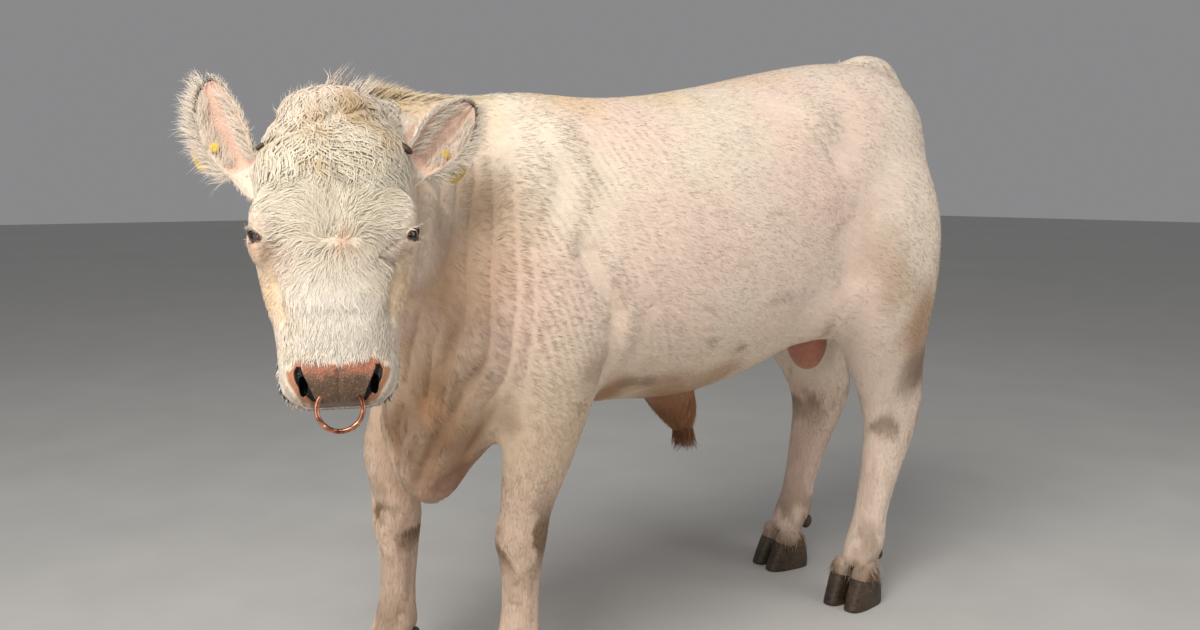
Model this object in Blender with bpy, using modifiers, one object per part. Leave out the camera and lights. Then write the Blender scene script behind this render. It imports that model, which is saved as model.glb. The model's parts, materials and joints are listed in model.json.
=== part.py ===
import math

import bmesh
import bpy
import numpy as np
from mathutils import Matrix, Vector
from mathutils.bvhtree import BVHTree

# Driving dimensions in metres: X runs to the chest, Y to the animal's left, Z up

GAP = 0.0003                # clearance between neighbouring pieces
BODY_VOXEL = 0.009          # grid that blends the trunk and limbs into one surface
HEAD_VOXEL = 0.0045         # finer grid for the head
BODY_TRIANGLES = 3550
HEAD_TRIANGLES = 1800
SEED = 11

# Trunk sections: x, top, bottom, half width, height of the widest point, fullness
TRUNK = [
    (-0.790, 1.180, 1.060, 0.060, 1.120, 2.0),
    (-0.772, 1.245, 0.960, 0.125, 1.110, 2.1),
    (-0.715, 1.300, 0.860, 0.180, 1.100, 2.2),
    (-0.630, 1.335, 0.770, 0.225, 1.070, 2.3),
    (-0.500, 1.332, 0.700, 0.255, 1.030, 2.3),
    (-0.320, 1.300, 0.640, 0.272, 0.980, 2.3),
    (-0.150, 1.262, 0.590, 0.290, 0.910, 2.2),
    (0.020, 1.232, 0.570, 0.298, 0.880, 2.2),
    (0.200, 1.215, 0.580, 0.285, 0.880, 2.1),
    (0.360, 1.222, 0.560, 0.245, 0.860, 2.0),
    (0.480, 1.185, 0.500, 0.200, 0.840, 2.0),
    (0.570, 1.085, 0.460, 0.150, 0.790, 2.0),
    (0.628, 0.950, 0.540, 0.085, 0.740, 2.0),
]

# Neck sections: x, y, z of the axis, half width, reach up, reach down
NECK = [
    (0.330, 0.000, 0.900, 0.175, 0.290, 0.330),
    (0.460, 0.004, 0.925, 0.168, 0.275, 0.330),
    (0.580, 0.012, 0.960, 0.150, 0.243, 0.300),
    (0.680, 0.040, 0.995, 0.128, 0.202, 0.235),
    (0.742, 0.096, 1.015, 0.112, 0.166, 0.180),
    (0.768, 0.142, 1.020, 0.100, 0.145, 0.150),
]

# Head frame: the crown point, the turn to the left and the lean of the face line
CROWN = Vector((0.803, 0.217, 1.178))
HEAD_TURN = math.radians(68.0)
FACE_LEAN = math.radians(20.0)

# Head sections down the face: distance, half width, face surface, jaw surface, fullness
HEAD = [
    (0.000, 0.066, -0.052, -0.120, 2.0),
    (0.030, 0.100, -0.018, -0.160, 2.2),
    (0.080, 0.118, 0.002, -0.190, 2.4),
    (0.140, 0.124, 0.006, -0.205, 2.5),
    (0.200, 0.126, 0.004, -0.215, 2.5),
    (0.245, 0.123, 0.000, -0.214, 2.4),
    (0.290, 0.113, -0.003, -0.200, 2.3),
    (0.335, 0.100, -0.003, -0.174, 2.3),
    (0.380, 0.092, -0.002, -0.152, 2.4),
    (0.420, 0.089, -0.003, -0.138, 2.6),
    (0.455, 0.084, -0.008, -0.124, 2.6),
    (0.478, 0.064, -0.024, -0.102, 2.4),
]
EYE_DOWN = 0.222            # eye along the face from the crown
EYE_SIDE = 0.101
EYE_BACK = -0.041
EYE_RADIUS = 0.0195
EYE_SLOPE = 0.72            # the outer corner stands higher than the inner one
EYE_TURN = math.radians(46.0)
EYE_SINK = 0.0015           # eyeball under the skin at the middle of the opening
EYE_SLIT = (0.0162, 0.0056)  # half width and half height of the opening
LID_RADIUS = 0.0032
# Nostril: distance down the face, distance from the middle, radius
NOSTRIL = [(0.422, 0.040, 0.0040), (0.430, 0.050, 0.0078), (0.445, 0.054, 0.0090),
           (0.457, 0.047, 0.0066), (0.464, 0.036, 0.0032)]
PASSAGE_RADII = (0.0070, 0.0105, 0.016)
MOUTH_CENTRE = (0.392, -0.088)
MOUTH_FRONT = (0.470, -0.056)
MOUTH_SWEEP = math.radians(84.0)
MOUTH_POINTS = 17
MOUTH_FLAT = 0.32           # share of its depth that the cutting roll is high
MOUTH_DEPTH = 0.0060

# Limb sections from the top: x, y, z, forward reach, backward reach, half width
FORELEG = [
    (-0.020, 0.020, 1.020, 0.070, 0.080, 0.060),
    (-0.015, 0.044, 0.900, 0.115, 0.120, 0.085),
    (-0.020, 0.060, 0.800, 0.125, 0.135, 0.086),
    (-0.035, 0.064, 0.710, 0.108, 0.120, 0.090),
    (-0.028, 0.056, 0.610, 0.084, 0.092, 0.077),
    (-0.012, 0.032, 0.490, 0.066, 0.064, 0.061),
    (-0.004, 0.010, 0.410, 0.051, 0.052, 0.052),
    (0.000, 0.000, 0.362, 0.054, 0.052, 0.056),
    (0.000, -0.002, 0.312, 0.044, 0.045, 0.046),
    (0.002, -0.002, 0.240, 0.038, 0.040, 0.039),
    (0.008, -0.002, 0.175, 0.040, 0.045, 0.042),
    (0.014, 0.000, 0.138, 0.046, 0.054, 0.050),
    (0.030, 0.000, 0.104, 0.042, 0.046, 0.047),
    (0.038, 0.000, 0.088, 0.042, 0.044, 0.048),
]
SHOULDER_PLACE = 0.425      # both shoulders stand level, whichever foot is forward
FORE_PLACES = {"left": (0.413, 0.114), "right": (0.560, -0.130)}

# Hind limb sections: lag behind the hoof, outward offset, z, forward, back, half width
HINDLEG = [
    (-0.010, -0.050, 1.200, 0.100, 0.120, 0.060),
    (-0.010, 0.010, 1.100, 0.170, 0.170, 0.100),
    (-0.020, 0.038, 0.970, 0.215, 0.196, 0.110),
    (-0.030, 0.042, 0.840, 0.228, 0.186, 0.106),
    (-0.040, 0.040, 0.730, 0.192, 0.162, 0.094),
    (-0.080, 0.028, 0.630, 0.148, 0.124, 0.076),
    (-0.120, 0.014, 0.545, 0.122, 0.104, 0.060),
    (-0.142, 0.006, 0.480, 0.106, 0.084, 0.055),
    (-0.138, 0.004, 0.415, 0.088, 0.069, 0.050),
    (-0.106, 0.002, 0.310, 0.063, 0.049, 0.044),
    (-0.074, 0.000, 0.210, 0.047, 0.045, 0.042),
    (-0.056, 0.000, 0.150, 0.048, 0.056, 0.050),
    (-0.038, 0.000, 0.110, 0.043, 0.046, 0.047),
    (-0.030, 0.000, 0.092, 0.043, 0.045, 0.049),
]
HIND_PLACES = {"left": (-0.520, 0.140), "right": (-0.562, -0.145)}
HOCK_LAG = {"left": 0.0, "right": 0.045}    # the right hock stands further back

# Claws: height, forward reach, backward reach, half width of each level
CLAW = [
    (0.108, 0.022, 0.022, 0.018),
    (0.084, 0.038, 0.038, 0.0262),
    (0.062, 0.046, 0.044, 0.0268),
    (0.034, 0.060, 0.050, 0.0278),
    (0.006, 0.076, 0.050, 0.0278),
    (0.000, 0.073, 0.047, 0.0258),
]
CLAW_SIDE = 0.0293          # from the middle of the foot to the middle of a claw
CORONET_HEIGHT = 0.064
CORONET_SLOPE = 0.22
TOE_OUT = math.radians(8.0)
DEWCLAW_RADII = (0.014, 0.0125, 0.019)
DEWCLAW_LEAN = math.radians(24)
DEWCLAW_BACK = 0.059
DEWCLAW_SIDE = 0.024
DEWCLAW_HEIGHT = 0.116

# Ears: share of the length, half width, cup depth, thickness
EAR = [
    (-0.20, 0.020, 0.010, 0.018),
    (0.05, 0.024, 0.016, 0.016),
    (0.20, 0.032, 0.022, 0.009),
    (0.40, 0.040, 0.024, 0.0065),
    (0.60, 0.041, 0.020, 0.0060),
    (0.80, 0.031, 0.012, 0.0050),
    (0.94, 0.017, 0.006, 0.0040),
    (1.00, 0.006, 0.002, 0.0030),
]
EAR_PLACE = {"left": (0.100, 0.119), "right": (0.112, 0.126)}    # down the face, sideways
EAR_BACK = -0.088
EAR_LENGTH = 0.160
EAR_BOW = {"left": 0.0, "right": 0.010}     # the middle line bends to the outer edge
EAR_CUT = {"left": 0.22, "right": 0.32}
# Lie of each ear: towards the side, up and forward; then the way the cup faces
EAR_LIE = {"left": (0.64, 0.67, -0.30), "right": (0.35, 0.93, -0.16)}
EAR_FACE = {"left": (0.25, 0.10, 0.95), "right": (0.30, -0.05, 0.95)}

# Cuts: where the flesh is parted, and half the sizes of each cut
EAR_CUT_HALF = (0.056, 0.050)
ELBOW_CUT = {"back": 0.014, "out": 0.034, "height": 0.500, "half": (0.110, 0.075)}
STIFLE_CUT = {"back": 0.085, "out": 0.030, "height": 0.625, "half": (0.200, 0.115)}
STIFLE_LAG = 0.7            # share of the hock's setback at the stifle cut
CORONET_CUT_HALF = (0.085, 0.075)
HEAD_CUT = {"lie": (0.32, -0.12), "top": (-0.02, 0.0, -0.135), "reach": 0.175, "half": (0.240, 0.215)}
NECK_TURN = math.radians(12)
# Each a point, the normal, the direction of its first half size, and the two half sizes
BODY_CUTS = [
    ((0.545, 0.020, 0.930), (0.903 * math.cos(NECK_TURN), 0.903 * math.sin(NECK_TURN), 0.430),
     (0.30, 0, -0.63), (0.430, 0.270)),                                         # neck
    ((-0.788, 0, 1.274), (-0.62, 0, -0.78), (0, 1, 0), (0.050, 0.040)),         # tail
    ((-0.066, 0, 0.548), (0, 0, 1), (1, 0, 0), (0.075, 0.060)),                 # sheath
    ((-0.500, 0, 0.662), (0, 0, 1), (1, 0, 0), (0.075, 0.065)),                 # scrotum
]

# Worn things
SCUR_LENGTH = 0.022
SCUR_RADIUS = 0.0076
SCUR_ROOT = (0.072, 0.100, -0.050)      # down the face, sideways, out of the face
SCUR_LIE = (0.88, 0.25, 0.35)           # towards the side, out of the face, down the face
SCUR_DROOP = 0.006
# Along the horn: share of the length and of the radius
SCUR_ROWS = [(-0.25, 1.00), (0.30, 1.00), (0.62, 0.86), (0.86, 0.58), (1.00, 0.26)]
RING_RADIUS = 0.0325
RING_TUBE = 0.0036
RING_TOP = (0.453, -0.020)
RING_LEAN = math.radians(8.0)
TAG_WIDTH = 0.054
TAG_HEIGHT = 0.042
TAG_THICK = 0.0024
STUD_RADIUS = 0.0026
BUTTON_RADIUS = 0.0075
TAG_SHARE = 0.40            # place along the ear
TAG_OUT = 0.022             # stud from the middle line towards the outer edge
TAG_RISE = 0.0020           # button's reference point in front of the middle line
TAG_BEHIND = 0.0200         # plate behind the stud's reference point

# Tail: x, y, z and radius
TAIL = [
    (-0.600, 0.000, 1.290, 0.045),
    (-0.680, 0.000, 1.318, 0.041),
    (-0.748, 0.000, 1.312, 0.036),
    (-0.806, 0.000, 1.250, 0.030),
    (-0.838, -0.004, 1.130, 0.026),
    (-0.860, -0.010, 0.980, 0.022),
    (-0.870, -0.018, 0.820, 0.019),
    (-0.866, -0.026, 0.680, 0.017),
    (-0.860, -0.032, 0.560, 0.014),
    (-0.858, -0.036, 0.470, 0.010),
]

# Muscle and bone forms of each side: x, distance from the middle, z and the three radii
SIDE_FORMS = {
    "shoulder": (0.400, 0.150, 0.920, 0.130, 0.080, 0.240),
    "point of shoulder": (0.510, 0.135, 0.780, 0.080, 0.075, 0.120),
    "hip": (-0.290, 0.180, 1.150, 0.130, 0.072, 0.072),
    "pin": (-0.738, 0.085, 1.200, 0.048, 0.050, 0.060),
    "flank": (-0.340, 0.185, 0.790, 0.130, 0.075, 0.120),
}
SHOULDER_LEAN = math.radians(-14)
# Forms on or near the middle plane: x, y, z and the three radii
MIDDLE_FORMS = {
    "hock point left": (-0.738, 0.148, 0.510, 0.026, 0.024, 0.045),
    "hock point right": (-0.800, -0.148, 0.510, 0.026, 0.024, 0.045),
    "brisket": (0.522, 0.005, 0.600, 0.120, 0.100, 0.135),
    "dewlap": (0.548, 0.012, 0.505, 0.086, 0.052, 0.098),
    "crest": (0.500, 0.022, 1.110, 0.190, 0.085, 0.085),
    "sheath root": (-0.050, 0.0, 0.605, 0.150, 0.058, 0.052),
}
# Forms of the head: down the face, sideways, out of the face, and the three radii
HEAD_SIDE_FORMS = {
    "brow": (0.195, 0.092, -0.026, 0.034, 0.042, 0.021),
    "orbit": (0.221, 0.095, -0.052, 0.036, 0.052, 0.038),
    "cheek": (0.232, 0.074, -0.145, 0.044, 0.088, 0.068),
    "nostril wing": (0.442, 0.054, -0.030, 0.027, 0.034, 0.024),
    "lip": (0.447, 0.044, -0.056, 0.036, 0.030, 0.034),
    "ear root": (0.100, 0.102, -0.092, 0.030, 0.032, 0.028),
}
HEAD_MIDDLE_FORMS = {
    "chin": (0.438, 0, -0.105, 0.046, 0.032, 0.030),
    "poll": (0.024, 0, -0.060, 0.082, 0.048, 0.056),
    "neck end": (0.120, 0, -0.175, 0.100, 0.105, 0.080),
}

# Sheath and scrotum
SHEATH = [
    (-0.020, 0.000, 0.620, 0.062),
    (-0.050, 0.000, 0.575, 0.057),
    (-0.072, 0.000, 0.535, 0.046),
    (-0.086, 0.000, 0.505, 0.034),
    (-0.092, 0.000, 0.488, 0.023),
]
SCROTUM_CENTRE = (-0.500, 0.0, 0.650)
SCROTUM_RADII = (0.050, 0.054, 0.078)

# Locks: length, width, thickness
LOCK_STEPS = 3              # sections along a lock
POLL_LOCK = (0.066, 0.030, 0.0105)
CREST_LOCK = (0.066, 0.032, 0.0110)
FRINGE_LOCK = (0.038, 0.021, 0.0050)
SWITCH_LOCK = (0.250, 0.042, 0.0140)
SHEATH_LOCK = (0.055, 0.016, 0.0070)
ROOT_SINK = 0.006           # depth of a lock's root under the surface
POLL_ROWS = (0.004, 0.036, 0.070, 0.104)    # distance of each row of curls down the face
POLL_COLUMNS = 5
POLL_SPREAD = 0.078
CREST_COUNT = 11
CREST_REACH = (0.772, 0.300)    # x of the first tuft, length of the row
CREST_SIDE = 0.012
FRINGE_COUNT = 6
FRINGE_REACH = (0.32, 0.60)     # share of the ear's length: start, extent
SWITCH_COUNT = 9
SWITCH_TOP = 0.585
SWITCH_STEP = 0.0525
SHEATH_COUNT = 6

COLOURS = {
    "coat": (0.86, 0.76, 0.66, 1.0),
    "skin": (0.78, 0.52, 0.44, 1.0),
    "horn": (0.16, 0.13, 0.10, 1.0),
    "hoof": (0.12, 0.09, 0.07, 1.0),
    "eye": (0.03, 0.02, 0.02, 1.0),
    "copper": (0.72, 0.42, 0.28, 1.0),
    "tag": (0.85, 0.72, 0.12, 1.0),
}

FORWARD = Vector((math.cos(HEAD_TURN), math.sin(HEAD_TURN), 0.0))
HEAD_LEFT = Vector((-math.sin(HEAD_TURN), math.cos(HEAD_TURN), 0.0))
FACE_DOWN = FORWARD * math.sin(FACE_LEAN) - Vector((0, 0, 1)) * math.cos(FACE_LEAN)
FACE_OUT = FORWARD * math.cos(FACE_LEAN) + Vector((0, 0, 1)) * math.sin(FACE_LEAN)


def clear_scene():
    for obj in list(bpy.data.objects):
        bpy.data.objects.remove(obj)


def make_collection(name):
    group = bpy.data.collections.new(name)
    bpy.context.scene.collection.children.link(group)
    return group


def make_material(name, colour, rough, metal=0.0):
    mat = bpy.data.materials.new(name)
    mat.use_nodes = True
    shader = mat.node_tree.nodes["Principled BSDF"]
    shader.inputs["Base Color"].default_value = colour
    shader.inputs["Roughness"].default_value = rough
    shader.inputs["Metallic"].default_value = metal
    mat.diffuse_color = colour
    return mat


def mesh_object(name, verts, faces):
    mesh = bpy.data.meshes.new(name)
    mesh.from_pydata([tuple(v) for v in verts], [], faces)
    mesh.update()
    obj = bpy.data.objects.new(name, mesh)
    WORK.objects.link(obj)
    return obj


def drop(obj):
    bpy.data.objects.remove(obj)


def baked(obj):
    # replaces the mesh by the result of the modifiers on it
    bpy.context.view_layer.update()
    graph = bpy.context.evaluated_depsgraph_get()
    mesh = bpy.data.meshes.new_from_object(obj.evaluated_get(graph))
    obj.modifiers.clear()
    obj.data = mesh
    return obj


def boolean(obj, other, operation):
    mod = obj.modifiers.new("Boolean", "BOOLEAN")
    mod.operation = operation
    mod.solver = "MANIFOLD"
    mod.object = other
    baked(obj)
    drop(other)
    return obj


def head_point(down, left, out):
    return CROWN + FACE_DOWN * down + HEAD_LEFT * left + FACE_OUT * out


def smooth_rows(rows, steps):
    # passes a rounded curve through the rows of sizes
    rows = np.array(rows, float)
    padded = np.vstack([2 * rows[0] - rows[1], rows, 2 * rows[-1] - rows[-2]])
    out = []
    for i in range(1, len(padded) - 2):
        a, b, c, d = padded[i - 1], padded[i], padded[i + 1], padded[i + 2]
        for k in range(steps):
            t = k / steps
            out.append(0.5 * (2 * b + (c - a) * t + (2 * a - 5 * b + 4 * c - d) * t ** 2
                              + (3 * b - a - 3 * c + d) * t ** 3))
    out.append(padded[-2])
    return np.array(out)


def ring(centre, side, up, half, reach_up, reach_down, fullness, count):
    points = []
    for i in range(count):
        angle = 2 * math.pi * i / count
        c, s = math.cos(angle), math.sin(angle)
        x = math.copysign(abs(c) ** (2 / fullness), c) * half
        z = math.copysign(abs(s) ** (2 / fullness), s)
        z *= reach_up if s > 0 else reach_down
        points.append(centre + side * x + up * z)
    return points


def skin_rings(name, rings, leaf=False):
    # closes a row of equal rings into one solid; a leaf has thin crescent ends
    count = len(rings[0])
    verts = [p for r in rings for p in r]
    faces = []
    for i in range(len(rings) - 1):
        for j in range(count):
            k = (j + 1) % count
            faces.append((i * count + j, i * count + k,
                          (i + 1) * count + k, (i + 1) * count + j))
    for base, start in ((0, 0), (len(rings) - 1, (len(rings) - 1) * count)):
        if leaf:
            for j in range(count // 2):
                corners = (j, j + 1, count - 1 - j, (count - j) % count)
                corners = [start + c for c in dict.fromkeys(corners)]
                faces.append(tuple(corners if base else corners[::-1]))
            continue
        middle = sum((Vector(p) for p in rings[base]), Vector()) / count
        verts.append(middle)
        tip = len(verts) - 1
        for j in range(count):
            k = (j + 1) % count
            pair = (start + j, start + k) if base else (start + k, start + j)
            faces.append((*pair, tip))
    obj = mesh_object(name, verts, faces)
    outward(obj)
    return obj


def outward(obj):
    bm = bmesh.new()
    bm.from_mesh(obj.data)
    bmesh.ops.recalc_face_normals(bm, faces=bm.faces)
    if bm.calc_volume(signed=True) < 0:
        bmesh.ops.reverse_faces(bm, faces=bm.faces)
    bm.to_mesh(obj.data)
    bm.free()


def ball(name, centre, radii, turn=None, segments=24, rings=14):
    bm = bmesh.new()
    bmesh.ops.create_uvsphere(bm, u_segments=segments, v_segments=rings, radius=1.0)
    mesh = bpy.data.meshes.new(name)
    shape = Matrix.Diagonal((*radii, 1.0))
    bm.transform(Matrix.Translation(centre) @ (turn or Matrix.Identity(4)) @ shape)
    bm.to_mesh(mesh)
    bm.free()
    obj = bpy.data.objects.new(name, mesh)
    WORK.objects.link(obj)
    return obj


def tube(name, points, radii, sides=8, flat=1.0, facing=None):
    # a closed tapering tube through the points; flat squeezes it along facing
    rings = []
    for i, point in enumerate(points):
        ahead = points[min(i + 1, len(points) - 1)] - points[max(i - 1, 0)]
        ahead = ahead.normalized()
        hint = facing or (Vector((0, 0, 1)) if abs(ahead.z) < 0.9 else Vector((1, 0, 0)))
        side = ahead.cross(hint).normalized()
        up = side.cross(ahead)
        rings.append([point + side * math.cos(a) * radii[i] + up * math.sin(a) * radii[i] * flat
                      for a in (2 * math.pi * j / sides for j in range(sides))])
    return skin_rings(name, rings)


def loop_tube(name, points, radius, sides, facing):
    # a closed ring of even thickness through the points
    count = len(points)
    verts, faces = [], []
    for i in range(count):
        ahead = (points[(i + 1) % count] - points[i - 1]).normalized()
        side = ahead.cross(facing).normalized()
        up = side.cross(ahead)
        for j in range(sides):
            a = 2 * math.pi * j / sides
            verts.append(points[i] + (side * math.cos(a) + up * math.sin(a)) * radius)
            k, m = (i + 1) % count, (j + 1) % sides
            faces.append((i * sides + j, k * sides + j, k * sides + m, i * sides + m))
    obj = mesh_object(name, verts, faces)
    outward(obj)
    return obj


def frame_matrix(origin, x_axis, z_axis):
    z = z_axis.normalized()
    x = (x_axis - z * x_axis.dot(z)).normalized()
    y = z.cross(x)
    mat = Matrix((x, y, z)).transposed().to_4x4()
    return Matrix.Translation(origin) @ mat


def plate(name, origin, normal, hint, half_u, half_v, thick=GAP):
    # thin rectangular cutter
    bm = bmesh.new()
    bmesh.ops.create_cube(bm, size=1.0)
    bm.transform(frame_matrix(origin, hint, normal)
                 @ Matrix.Diagonal((2 * half_u, 2 * half_v, thick, 1.0)))
    mesh = bpy.data.meshes.new(name)
    bm.to_mesh(mesh)
    bm.free()
    obj = bpy.data.objects.new(name, mesh)
    WORK.objects.link(obj)
    return obj


def relax(obj, rounds, softness):
    # moves each point towards the middle of its neighbours, by its softness
    mesh = obj.data
    co = np.empty(len(mesh.vertices) * 3)
    mesh.vertices.foreach_get("co", co)
    co = co.reshape(-1, 3)
    ends = np.empty(len(mesh.edges) * 2, int)
    mesh.edges.foreach_get("vertices", ends)
    a, b = ends[0::2], ends[1::2]
    count = np.bincount(np.concatenate([a, b]), minlength=len(co))
    share = 0.5 * softness(co)[:, None]
    for _ in range(rounds):
        total = np.zeros_like(co)
        for axis in range(3):
            total[:, axis] = (np.bincount(a, co[b, axis], len(co))
                              + np.bincount(b, co[a, axis], len(co)))
        co += share * (total / count[:, None] - co)
    mesh.vertices.foreach_set("co", co.ravel())
    mesh.update()


def blended(name, pieces, voxel, rounds, softness, triangles):
    # one smooth closed surface round all the pieces
    merged = bmesh.new()
    for piece in pieces:
        merged.from_mesh(piece.data)
        drop(piece)
    mesh = bpy.data.meshes.new(name)
    merged.to_mesh(mesh)
    merged.free()
    obj = bpy.data.objects.new(name, mesh)
    WORK.objects.link(obj)
    mod = obj.modifiers.new("Remesh", "REMESH")
    mod.mode = "VOXEL"
    mod.voxel_size = voxel
    baked(obj)
    keep_largest(obj)
    relax(obj, rounds, softness)
    mod = obj.modifiers.new("Decimate", "DECIMATE")
    mod.ratio = triangles / sum(len(p.vertices) - 2 for p in obj.data.polygons)
    mod.use_collapse_triangulate = True
    baked(obj)
    return obj


def loose_parts(obj):
    # groups of vertices joined by edges
    mesh = obj.data
    parent = list(range(len(mesh.vertices)))

    def root(i):
        while parent[i] != i:
            parent[i] = parent[parent[i]]
            i = parent[i]
        return i

    for edge in mesh.edges:
        a, b = root(edge.vertices[0]), root(edge.vertices[1])
        parent[a] = b
    groups = {}
    for i in range(len(parent)):
        groups.setdefault(root(i), []).append(i)
    return sorted(groups.values(), key=len, reverse=True)


def keep_largest(obj):
    groups = loose_parts(obj)
    if len(groups) < 2:
        return
    keep = set(groups[0])
    bm = bmesh.new()
    bm.from_mesh(obj.data)
    bm.verts.ensure_lookup_table()
    bmesh.ops.delete(bm, geom=[v for v in bm.verts if v.index not in keep], context="VERTS")
    bm.to_mesh(obj.data)
    bm.free()


def split_parts(obj):
    # one object for each closed shell of the cut body
    mesh = obj.data
    out = []
    for group in loose_parts(obj):
        index = {v: i for i, v in enumerate(group)}
        verts = [mesh.vertices[v].co.copy() for v in group]
        faces = [[index[v] for v in p.vertices] for p in mesh.polygons
                 if p.vertices[0] in index]
        if len(faces) > 3:
            out.append(mesh_object("shell", verts, faces))
    drop(obj)
    return out


def volume(obj):
    bm = bmesh.new()
    bm.from_mesh(obj.data)
    amount = bm.calc_volume(signed=True)
    bm.free()
    return amount


def trunk():
    rows = smooth_rows(TRUNK, 4)
    rings = []
    for x, top, bottom, half, wide, full in rows:
        rings.append(ring(Vector((x, 0, wide)), Vector((0, 1, 0)), Vector((0, 0, 1)),
                          half, top - wide, wide - bottom, full, 40))
    return skin_rings("trunk", rings)


def neck():
    rows = smooth_rows(NECK, 4)
    centres = [Vector(r[:3]) for r in rows]
    rings = []
    for i, row in enumerate(rows):
        ahead = centres[min(i + 1, len(rows) - 1)] - centres[max(i - 1, 0)]
        ahead.z *= 0.4
        side = Vector((0, 0, 1)).cross(ahead).normalized()
        up = ahead.normalized().cross(side)
        rings.append(ring(centres[i], side, up, row[3], row[4], row[5], 2.0, 32))
    return skin_rings("neck", rings)


def head_core():
    rings = []
    for down, half, face, jaw, full in smooth_rows(HEAD, 3):
        middle = face * 0.45 + jaw * 0.55
        rings.append(ring(head_point(down, 0, middle), HEAD_LEFT, FACE_OUT, half,
                          face - middle, middle - jaw, full, 36))
    return skin_rings("head core", rings)


def limb(name, rows, place, side, lag=0.0, top_place=None):
    # lag moves the hock backwards; the top of the limb stands at top_place
    rings = []
    for x, y, z, front, back, half in smooth_rows(rows, 3):
        shift = lag * math.exp(-((z - 0.50) / 0.20) ** 2)
        high = min(max((z - 0.50) / 0.45, 0), 1) if top_place else 0
        base = place[0] * (1 - high) + (top_place or 0) * high
        centre = Vector((base + x - shift, place[1] + side * y, z))
        rings.append(ring(centre, Vector((0, 1, 0)), Vector((1, 0, 0)), half,
                          front + shift * 0.7, back, 2.1, 24))
    return skin_rings(name, rings)


def side_sign(side):
    return 1 if side == "left" else -1


def form(name, sizes, s=1, turn=None):
    x, y, z = sizes[:3]
    return ball(name, Vector((x, s * y, z)), sizes[3:], turn)


def head_form(name, sizes, s=1):
    down, left, out = sizes[:3]
    turn = frame_matrix(Vector(), HEAD_LEFT, FACE_OUT)
    return ball(name, head_point(down, s * left, out), sizes[3:], turn)


def body_pieces():
    pieces = [trunk(), neck()]
    lean = Matrix.Rotation(SHOULDER_LEAN, 4, "Y")
    for side in ("left", "right"):
        s = side_sign(side)
        pieces.append(limb("foreleg", FORELEG, FORE_PLACES[side], s, 0, SHOULDER_PLACE))
        pieces.append(limb("hindleg", HINDLEG, HIND_PLACES[side], s, HOCK_LAG[side]))
        for name, sizes in SIDE_FORMS.items():
            pieces.append(form(name, sizes, s, lean if name == "shoulder" else None))
    pieces += [form(name, sizes) for name, sizes in MIDDLE_FORMS.items()]
    return pieces


def head_pieces():
    pieces = [head_core()]
    for s in (1, -1):
        pieces += [head_form(name, sizes, s) for name, sizes in HEAD_SIDE_FORMS.items()]
    pieces += [head_form(name, sizes) for name, sizes in HEAD_MIDDLE_FORMS.items()]
    return pieces


def body_softness(co):
    # strong blending on the trunk, little on the legs
    high = np.clip((co[:, 2] - 0.50) / 0.16, 0, 1)
    middle = np.clip((0.085 - np.abs(co[:, 1])) / 0.03, 0, 1)
    return np.clip(np.maximum(high, middle), 0.12, 1)


def head_softness(co):
    return np.full(len(co), 0.7)


def build_flesh():
    body = blended("body", body_pieces(), BODY_VOXEL, 80, body_softness, BODY_TRIANGLES)
    head = blended("head", head_pieces(), HEAD_VOXEL, 26, head_softness, HEAD_TRIANGLES)
    boolean(body, head, "UNION")
    keep_largest(body)
    return body


def ear_frame(side):
    s = side_sign(side)
    lie, face = EAR_LIE[side], EAR_FACE[side]
    down, out = EAR_PLACE[side]
    up = Vector((0, 0, 1))
    along = (HEAD_LEFT * s * lie[0] + up * lie[1] + FORWARD * lie[2]).normalized()
    cup = HEAD_LEFT * s * face[0] + up * face[1] + FORWARD * face[2]
    cup = (cup - along * cup.dot(along)).normalized()
    across = along.cross(cup) * s
    return head_point(down, s * out, EAR_BACK), along, across, cup


def ear_middle(side, share):
    origin, along, across, cup = ear_frame(side)
    bow = EAR_BOW[side] * 4 * share * (1 - share)
    return origin + along * EAR_LENGTH * share + across * bow


def ear(side):
    # a leaf with a hollow front; across points to its outer edge
    origin, along, across, cup = ear_frame(side)
    half = 4
    rings = []
    for share, width, deep, thick in EAR:
        centre = ear_middle(side, share)
        outer, inner = [], []
        for i in range(-half, half + 1):
            t = i / half
            back = centre + across * width * t + cup * (deep * (t * t - 0.5) - thick * (1 - t ** 2))
            front = centre + across * width * t + cup * deep * (t * t - 0.5)
            outer.append(back)
            inner.append(front + cup * thick * 0.35 * (1 - abs(t)))
        rings.append(outer + inner[1:-1][::-1])
    return skin_rings("ear " + side, rings, True)


def look_axes(side):
    s = side_sign(side)
    look = (FACE_OUT * math.cos(EYE_TURN) + HEAD_LEFT * s * math.sin(EYE_TURN)).normalized()
    across = (HEAD_LEFT * s * math.cos(EYE_TURN) - FACE_OUT * math.sin(EYE_TURN)).normalized()
    return look, (across - FACE_DOWN * EYE_SLOPE).normalized()


def find_eyes(flesh):
    # the middle of each eye's opening on the skin
    tree = BVHTree.FromObject(flesh, bpy.context.evaluated_depsgraph_get())
    for side in ("left", "right"):
        look = look_axes(side)[0]
        inside = head_point(EYE_DOWN, side_sign(side) * EYE_SIDE, EYE_BACK)
        EYES[side] = tree.ray_cast(inside + look * 0.1, -look)[0]


def eye_centre(side):
    return EYES[side] - look_axes(side)[0] * (EYE_RADIUS + EYE_SINK)


def lid_loop(flesh, side):
    # a rounded rim along the edge of the opening
    tree = BVHTree.FromObject(flesh, bpy.context.evaluated_depsgraph_get())
    look, across = look_axes(side)
    up = look.cross(across)
    points = []
    for k in range(12):
        a = 2 * math.pi * k / 12
        spot = (EYES[side] + across * EYE_SLIT[0] * 1.12 * math.cos(a)
                + up * (EYE_SLIT[1] + LID_RADIUS * 0.8) * math.sin(a))
        points.append(tree.find_nearest(spot)[0])
    return loop_tube("lid", points, LID_RADIUS, 5, look)


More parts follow.
